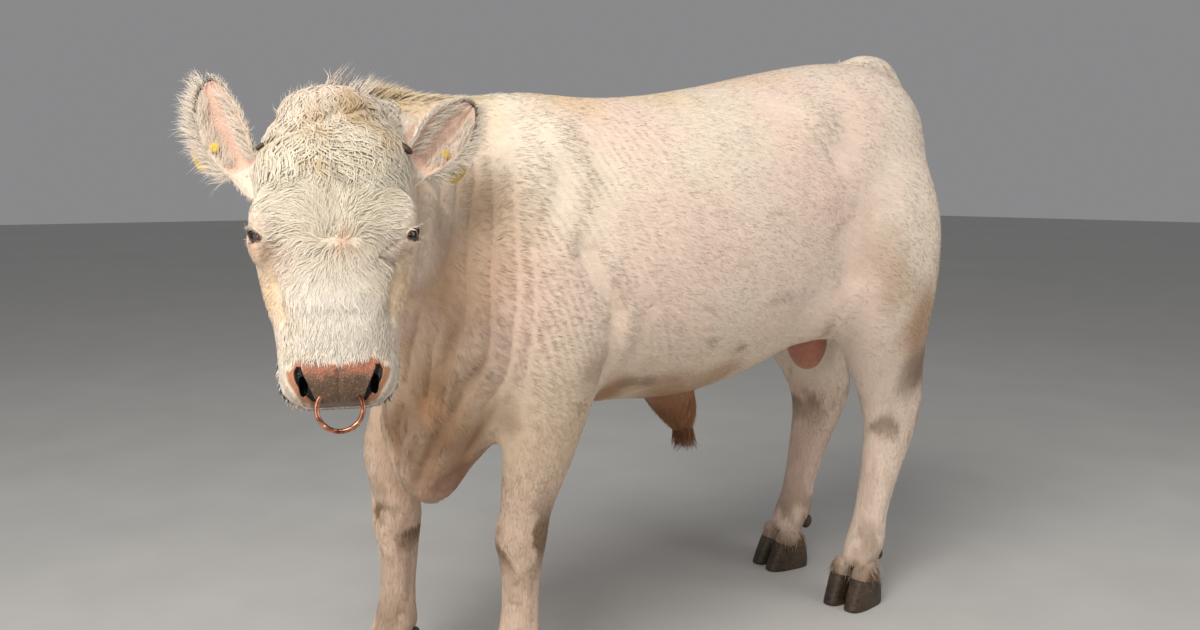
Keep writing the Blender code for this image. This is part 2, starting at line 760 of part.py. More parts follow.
def eye_opening(side):
    look, across = look_axes(side)
    turn = frame_matrix(Vector(), across, look)
    return ball("opening", EYES[side], (EYE_SLIT[0], EYE_SLIT[1], 0.0095), turn, 12, 6)


def foot_frame(place, side, lead):
    angle = side_sign(side) * TOE_OUT
    ahead = Vector((math.cos(angle), math.sin(angle), 0))
    out = Vector((-math.sin(angle), math.cos(angle), 0)) * side_sign(side)
    return Vector((place[0] + lead, place[1], 0)), ahead, out


def claw(origin, ahead, out, s):
    rings = []
    for z, front, back, half in CLAW:
        centre = origin + out * s * CLAW_SIDE + Vector((0, 0, z))
        rings.append(ring(centre, out, ahead, half, front, back, 3.0, 10))
    return skin_rings("claw", rings)


def feet():
    for side in ("left", "right"):
        yield "fore", side, foot_frame(FORE_PLACES[side], side, 0.040)
        yield "hind", side, foot_frame(HIND_PLACES[side], side, -0.026)


def face_surface(tree, down, side):
    start = head_point(down, side, 0.15)
    return tree.ray_cast(start, -FACE_OUT)[0]


def nostril(flesh, s):
    # a comma that runs down and in along the surface, and the passage behind it
    tree = BVHTree.FromObject(flesh, bpy.context.evaluated_depsgraph_get())
    points = [face_surface(tree, down, s * side) for down, side, _ in NOSTRIL]
    comma = tube("nostril", points, [size for _, _, size in NOSTRIL], 8, 1, FACE_OUT)
    turn = frame_matrix(Vector(), HEAD_LEFT, FACE_OUT)
    passage = ball("passage", points[2] - FACE_OUT * 0.012, PASSAGE_RADII, turn, 8, 6)
    return boolean(comma, passage, "UNION")


def mouth_cutter(flesh):
    # a flat roll laid along the surface where the lips meet
    tree = BVHTree.FromObject(flesh, bpy.context.evaluated_depsgraph_get())
    centre = head_point(MOUTH_CENTRE[0], 0, MOUTH_CENTRE[1])
    front = (head_point(MOUTH_FRONT[0], 0, MOUTH_FRONT[1]) - centre).normalized()
    points, sizes = [], []
    for k in range(MOUTH_POINTS):
        share = k / (MOUTH_POINTS - 1)
        a = MOUTH_SWEEP * (2 * share - 1)
        hit = tree.ray_cast(centre, front * math.cos(a) + HEAD_LEFT * math.sin(a))[0]
        points.append(hit)
        sizes.append(MOUTH_DEPTH * (0.45 + 0.55 * math.sin(math.pi * share)))
    return tube("mouth", points, sizes, 4, MOUTH_FLAT, front.cross(HEAD_LEFT).normalized())


def ring_frame():
    down = FACE_DOWN * math.cos(RING_LEAN) - FACE_OUT * math.sin(RING_LEAN)
    return head_point(RING_TOP[0], 0, RING_TOP[1]) + down * RING_RADIUS, down


def torus(name, centre, u, v, radius, tube_radius, count=28, sides=6):
    verts, faces = [], []
    normal = u.cross(v)
    for i in range(count):
        a = 2 * math.pi * i / count
        spoke = u * math.cos(a) + v * math.sin(a)
        for j in range(sides):
            b = 2 * math.pi * j / sides
            verts.append(centre + spoke * (radius + tube_radius * math.cos(b))
                         + normal * tube_radius * math.sin(b))
            k, m = (i + 1) % count, (j + 1) % sides
            faces.append((i * sides + j, k * sides + j, k * sides + m, i * sides + m))
    obj = mesh_object(name, verts, faces)
    outward(obj)
    return obj


def scur(s, grow):
    down, out, back = SCUR_ROOT
    root = head_point(down, s * out, back)
    away = (HEAD_LEFT * s * SCUR_LIE[0] + FACE_OUT * SCUR_LIE[1] + FACE_DOWN * SCUR_LIE[2]).normalized()
    points = [root + away * SCUR_LENGTH * t + FACE_DOWN * SCUR_DROOP * t * t for t, _ in SCUR_ROWS]
    points[0] -= away * grow
    points[-1] += away * grow
    return tube("scur", points, [SCUR_RADIUS * r + grow for _, r in SCUR_ROWS], 10)


def dewclaw(origin, ahead, out, s, grow):
    centre = origin - ahead * DEWCLAW_BACK + out * s * DEWCLAW_SIDE
    centre.z = DEWCLAW_HEIGHT
    turn = Matrix.Rotation(DEWCLAW_LEAN, 4, out)
    radii = [r + grow for r in DEWCLAW_RADII]
    return ball("dewclaw", centre, radii, turn, 8, 5)


def tag_frame(side):
    origin, along, across, cup = ear_frame(side)
    spot = ear_middle(side, TAG_SHARE) + across * TAG_OUT + cup * TAG_RISE
    return spot, along, across, cup


def tag(side):
    # a plate behind the edge of the ear, a stud through the ear and a button in front
    spot, along, across, cup = tag_frame(side)
    body = plate("tag", spot + across * TAG_WIDTH * 0.42 - cup * TAG_BEHIND, cup, across,
                 TAG_WIDTH / 2, TAG_HEIGHT / 2, TAG_THICK)
    stud = tube("stud", [spot - cup * TAG_BEHIND, spot + cup * 0.0040],
                [STUD_RADIUS, STUD_RADIUS], 10, 1, along)
    boolean(body, stud, "UNION")
    button = tube("button", [spot + cup * 0.0020, spot + cup * 0.0042],
                  [BUTTON_RADIUS, BUTTON_RADIUS], 12, 1, along)
    boolean(body, button, "UNION")
    return body


def tag_hole(side):
    spot, along, across, cup = tag_frame(side)
    wide = STUD_RADIUS + GAP
    return tube("hole", [spot - cup * 0.024, spot + cup * 0.012], [wide, wide], 10, 1, along)


def round_loft(name, rows, sides, steps=3):
    rows = smooth_rows(rows, steps)
    return tube(name, [Vector(r[:3]) for r in rows], [r[3] for r in rows], sides, 1.0,
                Vector((0, 1, 0)))


def lock(root, lie, normal, size, bend=0.0, lift=0.25, steps=LOCK_STEPS):
    # flat tapering blade, rooted under the surface, lifting and bending sideways
    length, width, thick = size
    root = root - normal * ROOT_SINK
    side = lie.cross(normal).normalized()
    rings = []
    for k in range(steps):
        t = k / steps
        centre = (root + lie * length * t + side * bend * length * t * t
                  + normal * length * lift * math.sin(math.pi * 0.75 * t))
        taper = math.sqrt(max(1 - t * t, 0)) * (0.72 + 0.56 * t * (1 - t) * 2)
        w, h = width / 2 * taper, thick / 2 * taper
        rings.append([centre + side * w, centre + normal * h, centre - side * w,
                      centre - normal * h])
    tip = root + lie * length + side * bend * length + normal * length * lift * 0.70
    verts = [p for r in rings for p in r] + [tip]
    faces = [(0, 1, 2), (0, 2, 3)]
    for i in range(steps - 1):
        for j in range(4):
            k = (j + 1) % 4
            a, b = i * 4, (i + 1) * 4
            faces += [(a + j, a + k, b + k), (a + j, b + k, b + j)]
    last = (steps - 1) * 4
    faces += [(last + j, last + (j + 1) % 4, len(verts) - 1) for j in range(4)]
    obj = mesh_object("lock", verts, faces)
    outward(obj)
    return obj


def fuse(obj, pieces):
    # one union of every piece with the body
    group = bpy.data.collections.new("fused")
    for piece in pieces:
        group.objects.link(piece)
    mod = obj.modifiers.new("Boolean", "BOOLEAN")
    mod.operation = "UNION"
    mod.solver = "MANIFOLD"
    mod.operand_type = "COLLECTION"
    mod.collection = group
    baked(obj)
    for piece in pieces:
        drop(piece)
    bpy.data.collections.remove(group)
    keep_largest(obj)


def poll_locks(tree, rng):
    # short curls that fall to both sides of the crown and over the forehead
    out = []
    half = POLL_COLUMNS // 2
    for row, down in enumerate(POLL_ROWS):
        for column in range(POLL_COLUMNS):
            share = (column - half) / half + (0.20 if row % 2 else -0.12)
            side = POLL_SPREAD * share + rng.uniform(-0.006, 0.006)
            hit, normal = tree.find_nearest(head_point(down, side, 0.010))[:2]
            lie = (FACE_DOWN * rng.uniform(0.55, 0.95)
                   + HEAD_LEFT * (share * 0.9 + rng.uniform(-0.35, 0.35)))
            lie = (lie - normal * lie.dot(normal)).normalized()
            size = [v * rng.uniform(0.85, 1.15) for v in POLL_LOCK]
            out.append(lock(hit, lie, normal, size, rng.uniform(-0.4, 0.4), 0.20))
    return out


def crest_locks(tree, rng):
    # a standing tuft behind the poll that runs down into the crest of the neck
    out = []
    for k in range(CREST_COUNT):
        share = k / (CREST_COUNT - 1)
        x = CREST_REACH[0] - CREST_REACH[1] * share
        y = float(np.interp(x, [row[0] for row in NECK], [row[1] for row in NECK]))
        lean = 1 if k % 2 else -1
        y += CREST_SIDE * lean
        hit = tree.ray_cast(Vector((x, y, 1.6)), Vector((0, 0, -1)))[0]
        lie = Vector((-0.80, 0.22 * lean, 0.62 - 0.36 * share)).normalized()
        size = [v * rng.uniform(0.85, 1.15) * (1 - 0.25 * share) for v in CREST_LOCK]
        normal = Vector((0, 0.75 * lean, 0.65))
        normal = (normal - lie * normal.dot(lie)).normalized()
        out.append(lock(hit, lie, normal, size, rng.uniform(-0.3, 0.3), 0.12))
    return out


def fringe_locks(side, rng):
    # long hair along the outer edge and the tip of the ear
    origin, along, across, cup = ear_frame(side)
    out = []
    shares = [row[0] for row in EAR]
    for k in range(FRINGE_COUNT):
        share = k / (FRINGE_COUNT - 1)
        t = FRINGE_REACH[0] + FRINGE_REACH[1] * share
        width = float(np.interp(t, shares, [row[1] for row in EAR]))
        deep = float(np.interp(t, shares, [row[2] for row in EAR]))
        edge = ear_middle(side, t) + across * width * 0.86 + cup * deep * 0.22
        lie = (across * (0.8 - 0.5 * share) + along * (0.6 + 0.4 * share)
               + cup * rng.uniform(-0.15, 0.2)).normalized()
        size = [v * rng.uniform(0.85, 1.15) for v in FRINGE_LOCK]
        out.append(lock(edge + cup * ROOT_SINK, lie, cup, size, rng.uniform(-0.15, 0.3), 0.10))
    return out


def switch_locks(rng):
    # the brush hangs in overlapping locks from the last part of the tail
    out = []
    heights = [row[2] for row in TAIL][::-1]
    for k in range(SWITCH_COUNT):
        z = SWITCH_TOP - SWITCH_STEP * (k // 3)
        angle = 2 * math.pi * ((k % 3) + 0.5 * (k // 3 % 2)) / 3
        x = float(np.interp(z, heights, [row[0] for row in TAIL][::-1]))
        y = float(np.interp(z, heights, [row[1] for row in TAIL][::-1]))
        wide = float(np.interp(z, heights, [row[3] for row in TAIL][::-1]))
        normal = Vector((math.cos(angle), math.sin(angle), 0))
        lie = Vector((normal.x * 0.05, normal.y * 0.05, -1)).normalized()
        size = [v * rng.uniform(0.9, 1.1) for v in SWITCH_LOCK]
        out.append(lock(Vector((x, y, z)) + normal * wide, lie, normal, size,
                        rng.uniform(-0.08, 0.08), 0.05, LOCK_STEPS + 1))
    return out


def sheath_locks(rng):
    out = []
    x, y, z, wide = SHEATH[-1]
    for k in range(SHEATH_COUNT):
        angle = 2 * math.pi * k / SHEATH_COUNT
        normal = Vector((math.cos(angle), math.sin(angle), 0))
        lie = (Vector((-0.10, 0, -1)) - normal * 0.10).normalized()
        size = [v * rng.uniform(0.8, 1.15) for v in SHEATH_LOCK]
        out.append(lock(Vector((x, y, z + 0.010)) + normal * wide * 0.9, lie, normal, size,
                        rng.uniform(-0.15, 0.15), 0.08))
    return out


def add_locks(flesh):
    rng = np.random.default_rng(SEED)
    tree = BVHTree.FromObject(flesh, bpy.context.evaluated_depsgraph_get())
    locks = poll_locks(tree, rng) + crest_locks(tree, rng)
    locks += fringe_locks("left", rng) + fringe_locks("right", rng)
    locks += switch_locks(rng) + sheath_locks(rng)
    fuse(flesh, locks)


def leg_cut(place, side, cut, lag=0.0):
    x, y = place
    spot = Vector((x - cut["back"] - lag, y + side_sign(side) * cut["out"], cut["height"]))
    return plate("cut", spot, Vector((0, 0, 1)), Vector((1, 0, 0)), *cut["half"])


def head_cut():
    # across the throat, from behind the poll to behind the jaw
    down, out = HEAD_CUT["lie"]
    normal = (FACE_OUT * down - FACE_DOWN * out).normalized()
    along = (FACE_DOWN * down + FACE_OUT * out).normalized()
    middle = head_point(*HEAD_CUT["top"]) + along * HEAD_CUT["reach"]
    return plate("cut", middle, normal, along, *HEAD_CUT["half"])


def cuts():
    # thin plates that part the flesh into its nodes
    out = [head_cut()]
    for side in ("left", "right"):
        origin, along, across, cup = ear_frame(side)
        out.append(plate("cut", origin + along * EAR_LENGTH * EAR_CUT[side], along, across,
                         *EAR_CUT_HALF))
        out.append(leg_cut(FORE_PLACES[side], side, ELBOW_CUT))
        out.append(leg_cut(HIND_PLACES[side], side, STIFLE_CUT, HOCK_LAG[side] * STIFLE_LAG))
    for kind, side, (origin, ahead, out_axis) in feet():
        slope = Vector((0, 0, 1)) - ahead * CORONET_SLOPE
        out.append(plate("cut", origin + Vector((0, 0, CORONET_HEIGHT)), slope, ahead,
                         *CORONET_CUT_HALF))
    for place, normal, hint, half in BODY_CUTS:
        out.append(plate("cut", Vector(place), Vector(normal), Vector(hint), *half))
    return out


def anchors():
    # a point inside each node, to name the parts after the cuts
    spots = {
        "head": head_point(0.25, 0, -0.10),
        "neck": Vector((0.640, 0.100, 0.960)),
        "torso": Vector((0.000, 0.000, 0.900)),
        "tail": Vector((-0.860, -0.010, 0.980)),
        "sheath": Vector((-0.080, 0.000, 0.540)),
        "scrotum": Vector(SCROTUM_CENTRE),
    }
    for side in ("left", "right"):
        s = side_sign(side)
        origin, along, across, cup = ear_frame(side)
        spots["ear_" + side] = ear_middle(side, TAG_SHARE) - cup * 0.012
        x, y = FORE_PLACES[side]
        spots["foreleg_" + side] = Vector((x, y, 0.300))
        x, y = HIND_PLACES[side]
        spots["hindleg_" + side] = Vector((x - 0.106 - HOCK_LAG[side] * 0.5, y, 0.310))
    for kind, side, (origin, ahead, out) in feet():
        for place, t in (("outer", 1), ("inner", -1)):
            spots[f"claw_{kind}_{side}_{place}"] = (origin + out * t * CLAW_SIDE
                                                    + Vector((0, 0, 0.02)))
    return spots


def paint(obj, name, mat):
    obj.name = name
    obj.data.name = name
    obj.data.materials.clear()
    obj.data.materials.append(mat)
    for poly in obj.data.polygons:
        poly.material_index = 0
        poly.use_smooth = False
    WORK.objects.unlink(obj)
    PARTS.objects.link(obj)
    return obj


def join_shapes(flesh):
    extras = [ear("left"), ear("right"), round_loft("tail", TAIL, 8, 1),
              round_loft("sheath", SHEATH, 10, 1),
              ball("scrotum", Vector(SCROTUM_CENTRE), SCROTUM_RADII, None, 14, 8)]
    for side in ("left", "right"):
        extras.append(lid_loop(flesh, side))
    for kind, side, (origin, ahead, out) in feet():
        extras += [claw(origin, ahead, out, 1), claw(origin, ahead, out, -1)]
    fuse(flesh, extras)


def hollow(flesh):
    boolean(flesh, mouth_cutter(flesh), "DIFFERENCE")
    for s in (1, -1):
        boolean(flesh, nostril(flesh, s), "DIFFERENCE")
        boolean(flesh, scur(s, GAP), "DIFFERENCE")
    for side in ("left", "right"):
        boolean(flesh, eye_opening(side), "DIFFERENCE")
        centre = eye_centre(side)
        wide = EYE_RADIUS + GAP
        boolean(flesh, ball("socket", centre, (wide, wide, wide), None, 12, 8), "DIFFERENCE")
        boolean(flesh, tag_hole(side), "DIFFERENCE")
    for kind, side, (origin, ahead, out) in feet():
        for s in (1, -1):
            boolean(flesh, dewclaw(origin, ahead, out, s, GAP), "DIFFERENCE")
    centre, down = ring_frame()
    boolean(flesh, torus("channel", centre, HEAD_LEFT, down, RING_RADIUS, RING_TUBE + GAP),
            "DIFFERENCE")


def contains(obj, point):
    tree = BVHTree.FromObject(obj, bpy.context.evaluated_depsgraph_get())
    count, start = 0, point.copy()
    direction = Vector((0.131, 0.217, 0.967)).normalized()
    while True:
        hit = tree.ray_cast(start, direction)[0]
        if hit is None:
            return count % 2 == 1
        count += 1
        start = hit + direction * 1e-5


def part_body(flesh):
    for cutter in cuts():
        boolean(flesh, cutter, "DIFFERENCE")
    shells = split_parts(flesh)
    nodes = {}
    spots = anchors()
    for shell in shells:
        found = [n for n, p in spots.items() if n not in nodes and contains(shell, p)]
        if len(found) == 1:
            nodes[found[0]] = shell
        else:
            drop(shell)
    print("nodes not found:", [n for n in spots if n not in nodes])
    return nodes


def node_material(name):
    if name.startswith("claw"):
        return MATERIALS["hoof"]
    if name in ("sheath", "scrotum"):
        return MATERIALS["skin"]
    return MATERIALS["coat"]


def worn_and_set_pieces():
    for side in ("left", "right"):
        centre = eye_centre(side)
        paint(ball("eye", centre, (EYE_RADIUS,) * 3, None, 12, 8), "eye_" + side,
              MATERIALS["eye"])
        paint(scur(side_sign(side), 0.0), "scur_" + side, MATERIALS["horn"])
        paint(tag(side), "ear_tag_" + side, MATERIALS["tag"])
    for kind, side, (origin, ahead, out) in feet():
        for place, s in (("outer", 1), ("inner", -1)):
            paint(dewclaw(origin, ahead, out, s, 0.0), f"dewclaw_{kind}_{side}_{place}",
                  MATERIALS["hoof"])
    centre, down = ring_frame()
    paint(torus("ring", centre, HEAD_LEFT, down, RING_RADIUS, RING_TUBE), "nose_ring",
          MATERIALS["copper"])


def centre_model():
    # the middle of the box stands over the origin, the soles at height zero
    low = Vector((1e9,) * 3)
    high = -low
    for obj in PARTS.objects:
        for v in obj.data.vertices:
            low = Vector(map(min, low, v.co))
            high = Vector(map(max, high, v.co))
    shift = Vector((-(low.x + high.x) / 2, -(low.y + high.y) / 2, -low.z))
    for obj in PARTS.objects:
        obj.data.transform(Matrix.Translation(shift))
    return shift


clear_scene()
PARTS = make_collection("beef shorthorn bull")
WORK = make_collection("working pieces")
MATERIALS = {
    "coat": make_material("coat", COLOURS["coat"], 0.8),
    "skin": make_material("skin", COLOURS["skin"], 0.7),
    "horn": make_material("horn", COLOURS["horn"], 0.5),
    "hoof": make_material("hoof", COLOURS["hoof"], 0.5),
    "eye": make_material("eye", COLOURS["eye"], 0.1),
    "copper": make_material("copper", COLOURS["copper"], 0.3, 1.0),
    "tag": make_material("tag", COLOURS["tag"], 0.5),
}
EYES = {}
flesh = build_flesh()
find_eyes(flesh)
FLESH_VOLUME = volume(flesh)
join_shapes(flesh)
add_locks(flesh)
hollow(flesh)
for node_name, node in part_body(flesh).items():
    paint(node, node_name, node_material(node_name))
worn_and_set_pieces()
SHIFT = centre_model()
print("volume", round(FLESH_VOLUME, 4), "shift", [round(c, 4) for c in SHIFT],
      "nodes", len(PARTS.objects),
      "triangles", sum(len(p.vertices) - 2 for o in PARTS.objects for p in o.data.polygons))
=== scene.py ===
import json
import math

import bmesh
import bpy
import numpy as np
from mathutils import Matrix, Vector
from mathutils.bvhtree import BVHTree

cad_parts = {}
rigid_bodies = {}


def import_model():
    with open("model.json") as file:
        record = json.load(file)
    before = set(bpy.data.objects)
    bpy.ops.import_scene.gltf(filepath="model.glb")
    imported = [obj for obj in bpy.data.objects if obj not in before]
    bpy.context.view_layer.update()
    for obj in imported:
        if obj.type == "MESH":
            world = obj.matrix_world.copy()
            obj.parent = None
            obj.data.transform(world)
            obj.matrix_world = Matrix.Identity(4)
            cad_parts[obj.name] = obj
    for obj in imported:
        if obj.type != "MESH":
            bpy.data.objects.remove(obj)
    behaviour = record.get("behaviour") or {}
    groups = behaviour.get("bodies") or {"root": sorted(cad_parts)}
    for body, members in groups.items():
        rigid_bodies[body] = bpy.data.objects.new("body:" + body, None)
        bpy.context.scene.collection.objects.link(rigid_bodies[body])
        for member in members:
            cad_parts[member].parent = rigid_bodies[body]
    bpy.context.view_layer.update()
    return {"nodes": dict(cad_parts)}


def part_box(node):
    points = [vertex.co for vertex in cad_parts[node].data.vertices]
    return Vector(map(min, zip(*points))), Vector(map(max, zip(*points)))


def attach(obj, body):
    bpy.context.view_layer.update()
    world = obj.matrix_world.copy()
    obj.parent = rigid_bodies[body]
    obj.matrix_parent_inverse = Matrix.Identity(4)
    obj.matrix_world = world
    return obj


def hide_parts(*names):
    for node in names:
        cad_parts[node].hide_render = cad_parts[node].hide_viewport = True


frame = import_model()
print("frame loaded,", len(frame["nodes"]), "nodes")

# sizes are in metres: x runs to the chest, y to the animal's left, z up from the soles

# trunk sections: x, top, bottom, half width, height of the widest point, fullness
trunkRows = [
    (-0.790, 1.180, 1.060, 0.060, 1.120, 2.0),
    (-0.772, 1.245, 0.960, 0.125, 1.110, 2.1),
    (-0.715, 1.300, 0.860, 0.180, 1.100, 2.2),
    (-0.630, 1.335, 0.770, 0.225, 1.070, 2.3),
    (-0.500, 1.332, 0.700, 0.255, 1.030, 2.3),
    (-0.320, 1.300, 0.640, 0.272, 0.980, 2.3),
    (-0.150, 1.262, 0.590, 0.290, 0.910, 2.2),
    (0.020, 1.232, 0.570, 0.298, 0.880, 2.2),
    (0.200, 1.215, 0.580, 0.285, 0.880, 2.1),
    (0.360, 1.222, 0.560, 0.245, 0.860, 2.0),
    (0.480, 1.185, 0.500, 0.200, 0.840, 2.0),
    (0.570, 1.085, 0.460, 0.150, 0.790, 2.0),
    (0.628, 0.950, 0.540, 0.085, 0.740, 2.0),
]

# neck sections: x, y, z of the middle, half width, reach up, reach down
neckRows = [
    (0.330, 0.000, 0.900, 0.175, 0.290, 0.330),
    (0.460, 0.004, 0.925, 0.168, 0.275, 0.330),
    (0.580, 0.012, 0.960, 0.150, 0.243, 0.300),
    (0.680, 0.040, 0.995, 0.128, 0.202, 0.235),
    (0.742, 0.096, 1.015, 0.112, 0.166, 0.180),
    (0.768, 0.142, 1.020, 0.100, 0.145, 0.150),
]

# head sections down the face: distance, half width, face surface, jaw surface, fullness
headRows = [
    (0.000, 0.066, -0.052, -0.120, 2.0),
    (0.030, 0.100, -0.018, -0.160, 2.2),
    (0.080, 0.118, 0.002, -0.190, 2.4),
    (0.140, 0.124, 0.006, -0.205, 2.5),
    (0.200, 0.126, 0.004, -0.215, 2.5),
    (0.245, 0.123, 0.000, -0.214, 2.4),
    (0.290, 0.113, -0.003, -0.200, 2.3),
    (0.335, 0.100, -0.003, -0.174, 2.3),
    (0.380, 0.092, -0.002, -0.152, 2.4),
    (0.420, 0.089, -0.003, -0.138, 2.6),
    (0.455, 0.084, -0.008, -0.124, 2.6),
    (0.478, 0.064, -0.024, -0.102, 2.4),
]

# limb sections from the top: x, y, z, forward reach, backward reach, half width
forelegRows = [
    (-0.020, 0.020, 1.020, 0.070, 0.080, 0.060),
    (-0.015, 0.044, 0.900, 0.115, 0.120, 0.085),
    (-0.020, 0.060, 0.800, 0.125, 0.135, 0.086),
    (-0.035, 0.064, 0.710, 0.108, 0.120, 0.090),
    (-0.028, 0.056, 0.610, 0.084, 0.092, 0.077),
    (-0.012, 0.032, 0.490, 0.066, 0.064, 0.061),
    (-0.004, 0.010, 0.410, 0.051, 0.052, 0.052),
    (0.000, 0.000, 0.362, 0.054, 0.052, 0.056),
    (0.000, -0.002, 0.312, 0.044, 0.045, 0.046),
    (0.002, -0.002, 0.240, 0.038, 0.040, 0.039),
    (0.008, -0.002, 0.175, 0.040, 0.045, 0.042),
    (0.014, 0.000, 0.138, 0.046, 0.054, 0.050),
    (0.030, 0.000, 0.104, 0.042, 0.046, 0.047),
    (0.038, 0.000, 0.088, 0.042, 0.044, 0.048),
]
hindlegRows = [
    (-0.010, -0.050, 1.200, 0.100, 0.120, 0.060),
    (-0.010, 0.010, 1.100, 0.170, 0.170, 0.100),
    (-0.020, 0.038, 0.970, 0.215, 0.196, 0.110),
    (-0.030, 0.042, 0.840, 0.228, 0.186, 0.106),
    (-0.040, 0.040, 0.730, 0.192, 0.162, 0.094),
    (-0.080, 0.028, 0.630, 0.148, 0.124, 0.076),
    (-0.120, 0.014, 0.545, 0.122, 0.104, 0.060),
    (-0.142, 0.006, 0.480, 0.106, 0.084, 0.055),
    (-0.138, 0.004, 0.415, 0.088, 0.069, 0.050),
    (-0.106, 0.002, 0.310, 0.063, 0.049, 0.044),
    (-0.074, 0.000, 0.210, 0.047, 0.045, 0.042),
    (-0.056, 0.000, 0.150, 0.048, 0.056, 0.050),
    (-0.038, 0.000, 0.110, 0.043, 0.046, 0.047),
    (-0.030, 0.000, 0.092, 0.043, 0.045, 0.049),
]
stance = {
    "shoulderPlace": 0.425,
    "fore": {"left": (0.413, 0.114), "right": (0.560, -0.130)},
    "hind": {"left": (-0.520, 0.140), "right": (-0.562, -0.145)},
    "hockLag": {"left": 0.0, "right": 0.045},
    "lead": {"fore": 0.040, "hind": -0.026},    # from the limb's line to the middle of the foot
    "toeOut": 8.0,
}

# tail: x, y, z and radius; sheath the same
tailRows = [
    (-0.600, 0.000, 1.290, 0.045),
    (-0.680, 0.000, 1.318, 0.041),
    (-0.748, 0.000, 1.312, 0.036),
    (-0.806, 0.000, 1.250, 0.030),
    (-0.838, -0.004, 1.130, 0.026),
    (-0.860, -0.010, 0.980, 0.022),
    (-0.870, -0.018, 0.820, 0.019),
    (-0.866, -0.026, 0.680, 0.017),
    (-0.860, -0.032, 0.560, 0.014),
    (-0.858, -0.036, 0.470, 0.010),
]
sheathRows = [
    (-0.020, 0.000, 0.620, 0.062),
    (-0.050, 0.000, 0.575, 0.057),
    (-0.072, 0.000, 0.535, 0.046),
    (-0.086, 0.000, 0.505, 0.034),
    (-0.092, 0.000, 0.488, 0.023),
]

# ears: share of the length, half width, cup depth, thickness
earRows = [
    (-0.20, 0.020, 0.010, 0.018),
    (0.05, 0.024, 0.016, 0.016),
    (0.20, 0.032, 0.022, 0.009),
    (0.40, 0.040, 0.024, 0.0065),
    (0.60, 0.041, 0.020, 0.0060),
    (0.80, 0.031, 0.012, 0.0050),
    (0.94, 0.017, 0.006, 0.0040),
    (1.00, 0.006, 0.002, 0.0030),
]
earSettings = {
    "length": 0.160, "back": -0.088,
    "bow": {"left": 0.0, "right": 0.010},
    "place": {"left": (0.100, 0.119), "right": (0.112, 0.126)},
    "lie": {"left": (0.64, 0.67, -0.30), "right": (0.35, 0.93, -0.16)},
    "face": {"left": (0.25, 0.10, 0.95), "right": (0.30, -0.05, 0.95)},
}

crown = Vector((0.803, 0.217, 1.178))
headTurn = math.radians(68.0)
faceLean = math.radians(20.0)
headForward = Vector((math.cos(headTurn), math.sin(headTurn), 0.0))
headLeft = Vector((-math.sin(headTurn), math.cos(headTurn), 0.0))
faceDown = headForward * math.sin(faceLean) - Vector((0, 0, 1)) * math.cos(faceLean)
faceOut = headForward * math.cos(faceLean) + Vector((0, 0, 1)) * math.sin(faceLean)
sideSign = {"left": 1, "right": -1}


def boxMiddle(node):
    low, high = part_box(node)
    return (low + high) / 2


def footFrame(kind, side):
    angle = math.radians(stance["toeOut"]) * sideSign[side]
    ahead = Vector((math.cos(angle), math.sin(angle), 0))
    out = Vector((-math.sin(angle), math.cos(angle), 0)) * sideSign[side]
    x, y = stance[kind][side]
    return Vector((x + stance["lead"][kind], y, 0)), ahead, out


dewclawSizes = {"back": 0.059, "side": 0.024, "height": 0.116, "radii": (0.014, 0.0125, 0.019)}


def dewclawPlace(kind, side, s):
    origin, ahead, out = footFrame(kind, side)
    spot = origin - ahead * dewclawSizes["back"] + out * s * dewclawSizes["side"]
    spot.z = dewclawSizes["height"]
    return spot


# the sizes above are measured from the body's own middle, the model from its box
modelShift = boxMiddle("dewclaw_fore_left_outer") - dewclawPlace("fore", "left", 1)
modelShift.z = 0.0


def headPoint(down, left, out):
    return crown + faceDown * down + headLeft * left + faceOut * out


# meshes

def linked(name, data):
    obj = bpy.data.objects.new(name, data)
    bpy.context.scene.collection.objects.link(obj)
    return obj


def meshObject(name, verts, faces):
    mesh = bpy.data.meshes.new(name)
    mesh.from_pydata([tuple(v) for v in verts], [], faces)
    mesh.update()
    return linked(name, mesh)


def bmeshObject(name, bm):
    mesh = bpy.data.meshes.new(name)
    bm.to_mesh(mesh)
    bm.free()
    return linked(name, mesh)


def readPoints(mesh):
    co = np.empty(len(mesh.vertices) * 3, np.float64)
    mesh.vertices.foreach_get("co", co)
    return co.reshape(-1, 3)


def writePoints(mesh, points):
    mesh.vertices.foreach_set("co", points.astype(np.float32).ravel())
    mesh.update()


def readNormals(mesh):
    out = np.empty(len(mesh.vertices) * 3, np.float32)
    mesh.vertex_normals.foreach_get("vector", out)
    return out.reshape(-1, 3).astype(np.float64)


def baked(obj):
    # replaces the mesh by the result of its modifiers
    bpy.context.view_layer.update()
    graph = bpy.context.evaluated_depsgraph_get()
    mesh = bpy.data.meshes.new_from_object(obj.evaluated_get(graph))
    obj.modifiers.clear()
    obj.data = mesh
    return obj


def boolean(obj, other, operation):
    mod = obj.modifiers.new("Boolean", "BOOLEAN")
    mod.operation = operation
    mod.solver = "MANIFOLD"
    mod.object = other
    baked(obj)
    bpy.data.objects.remove(other)
    return obj


def outward(obj):
    bm = bmesh.new()
    bm.from_mesh(obj.data)
    bmesh.ops.recalc_face_normals(bm, faces=bm.faces)
    if bm.calc_volume(signed=True) < 0:
        bmesh.ops.reverse_faces(bm, faces=bm.faces)
    bm.to_mesh(obj.data)
    bm.free()
    return obj


def subdivided(obj, levels=1):
    mod = obj.modifiers.new("Subdivision", "SUBSURF")
    mod.levels = levels
    mod.render_levels = levels
    return baked(obj)


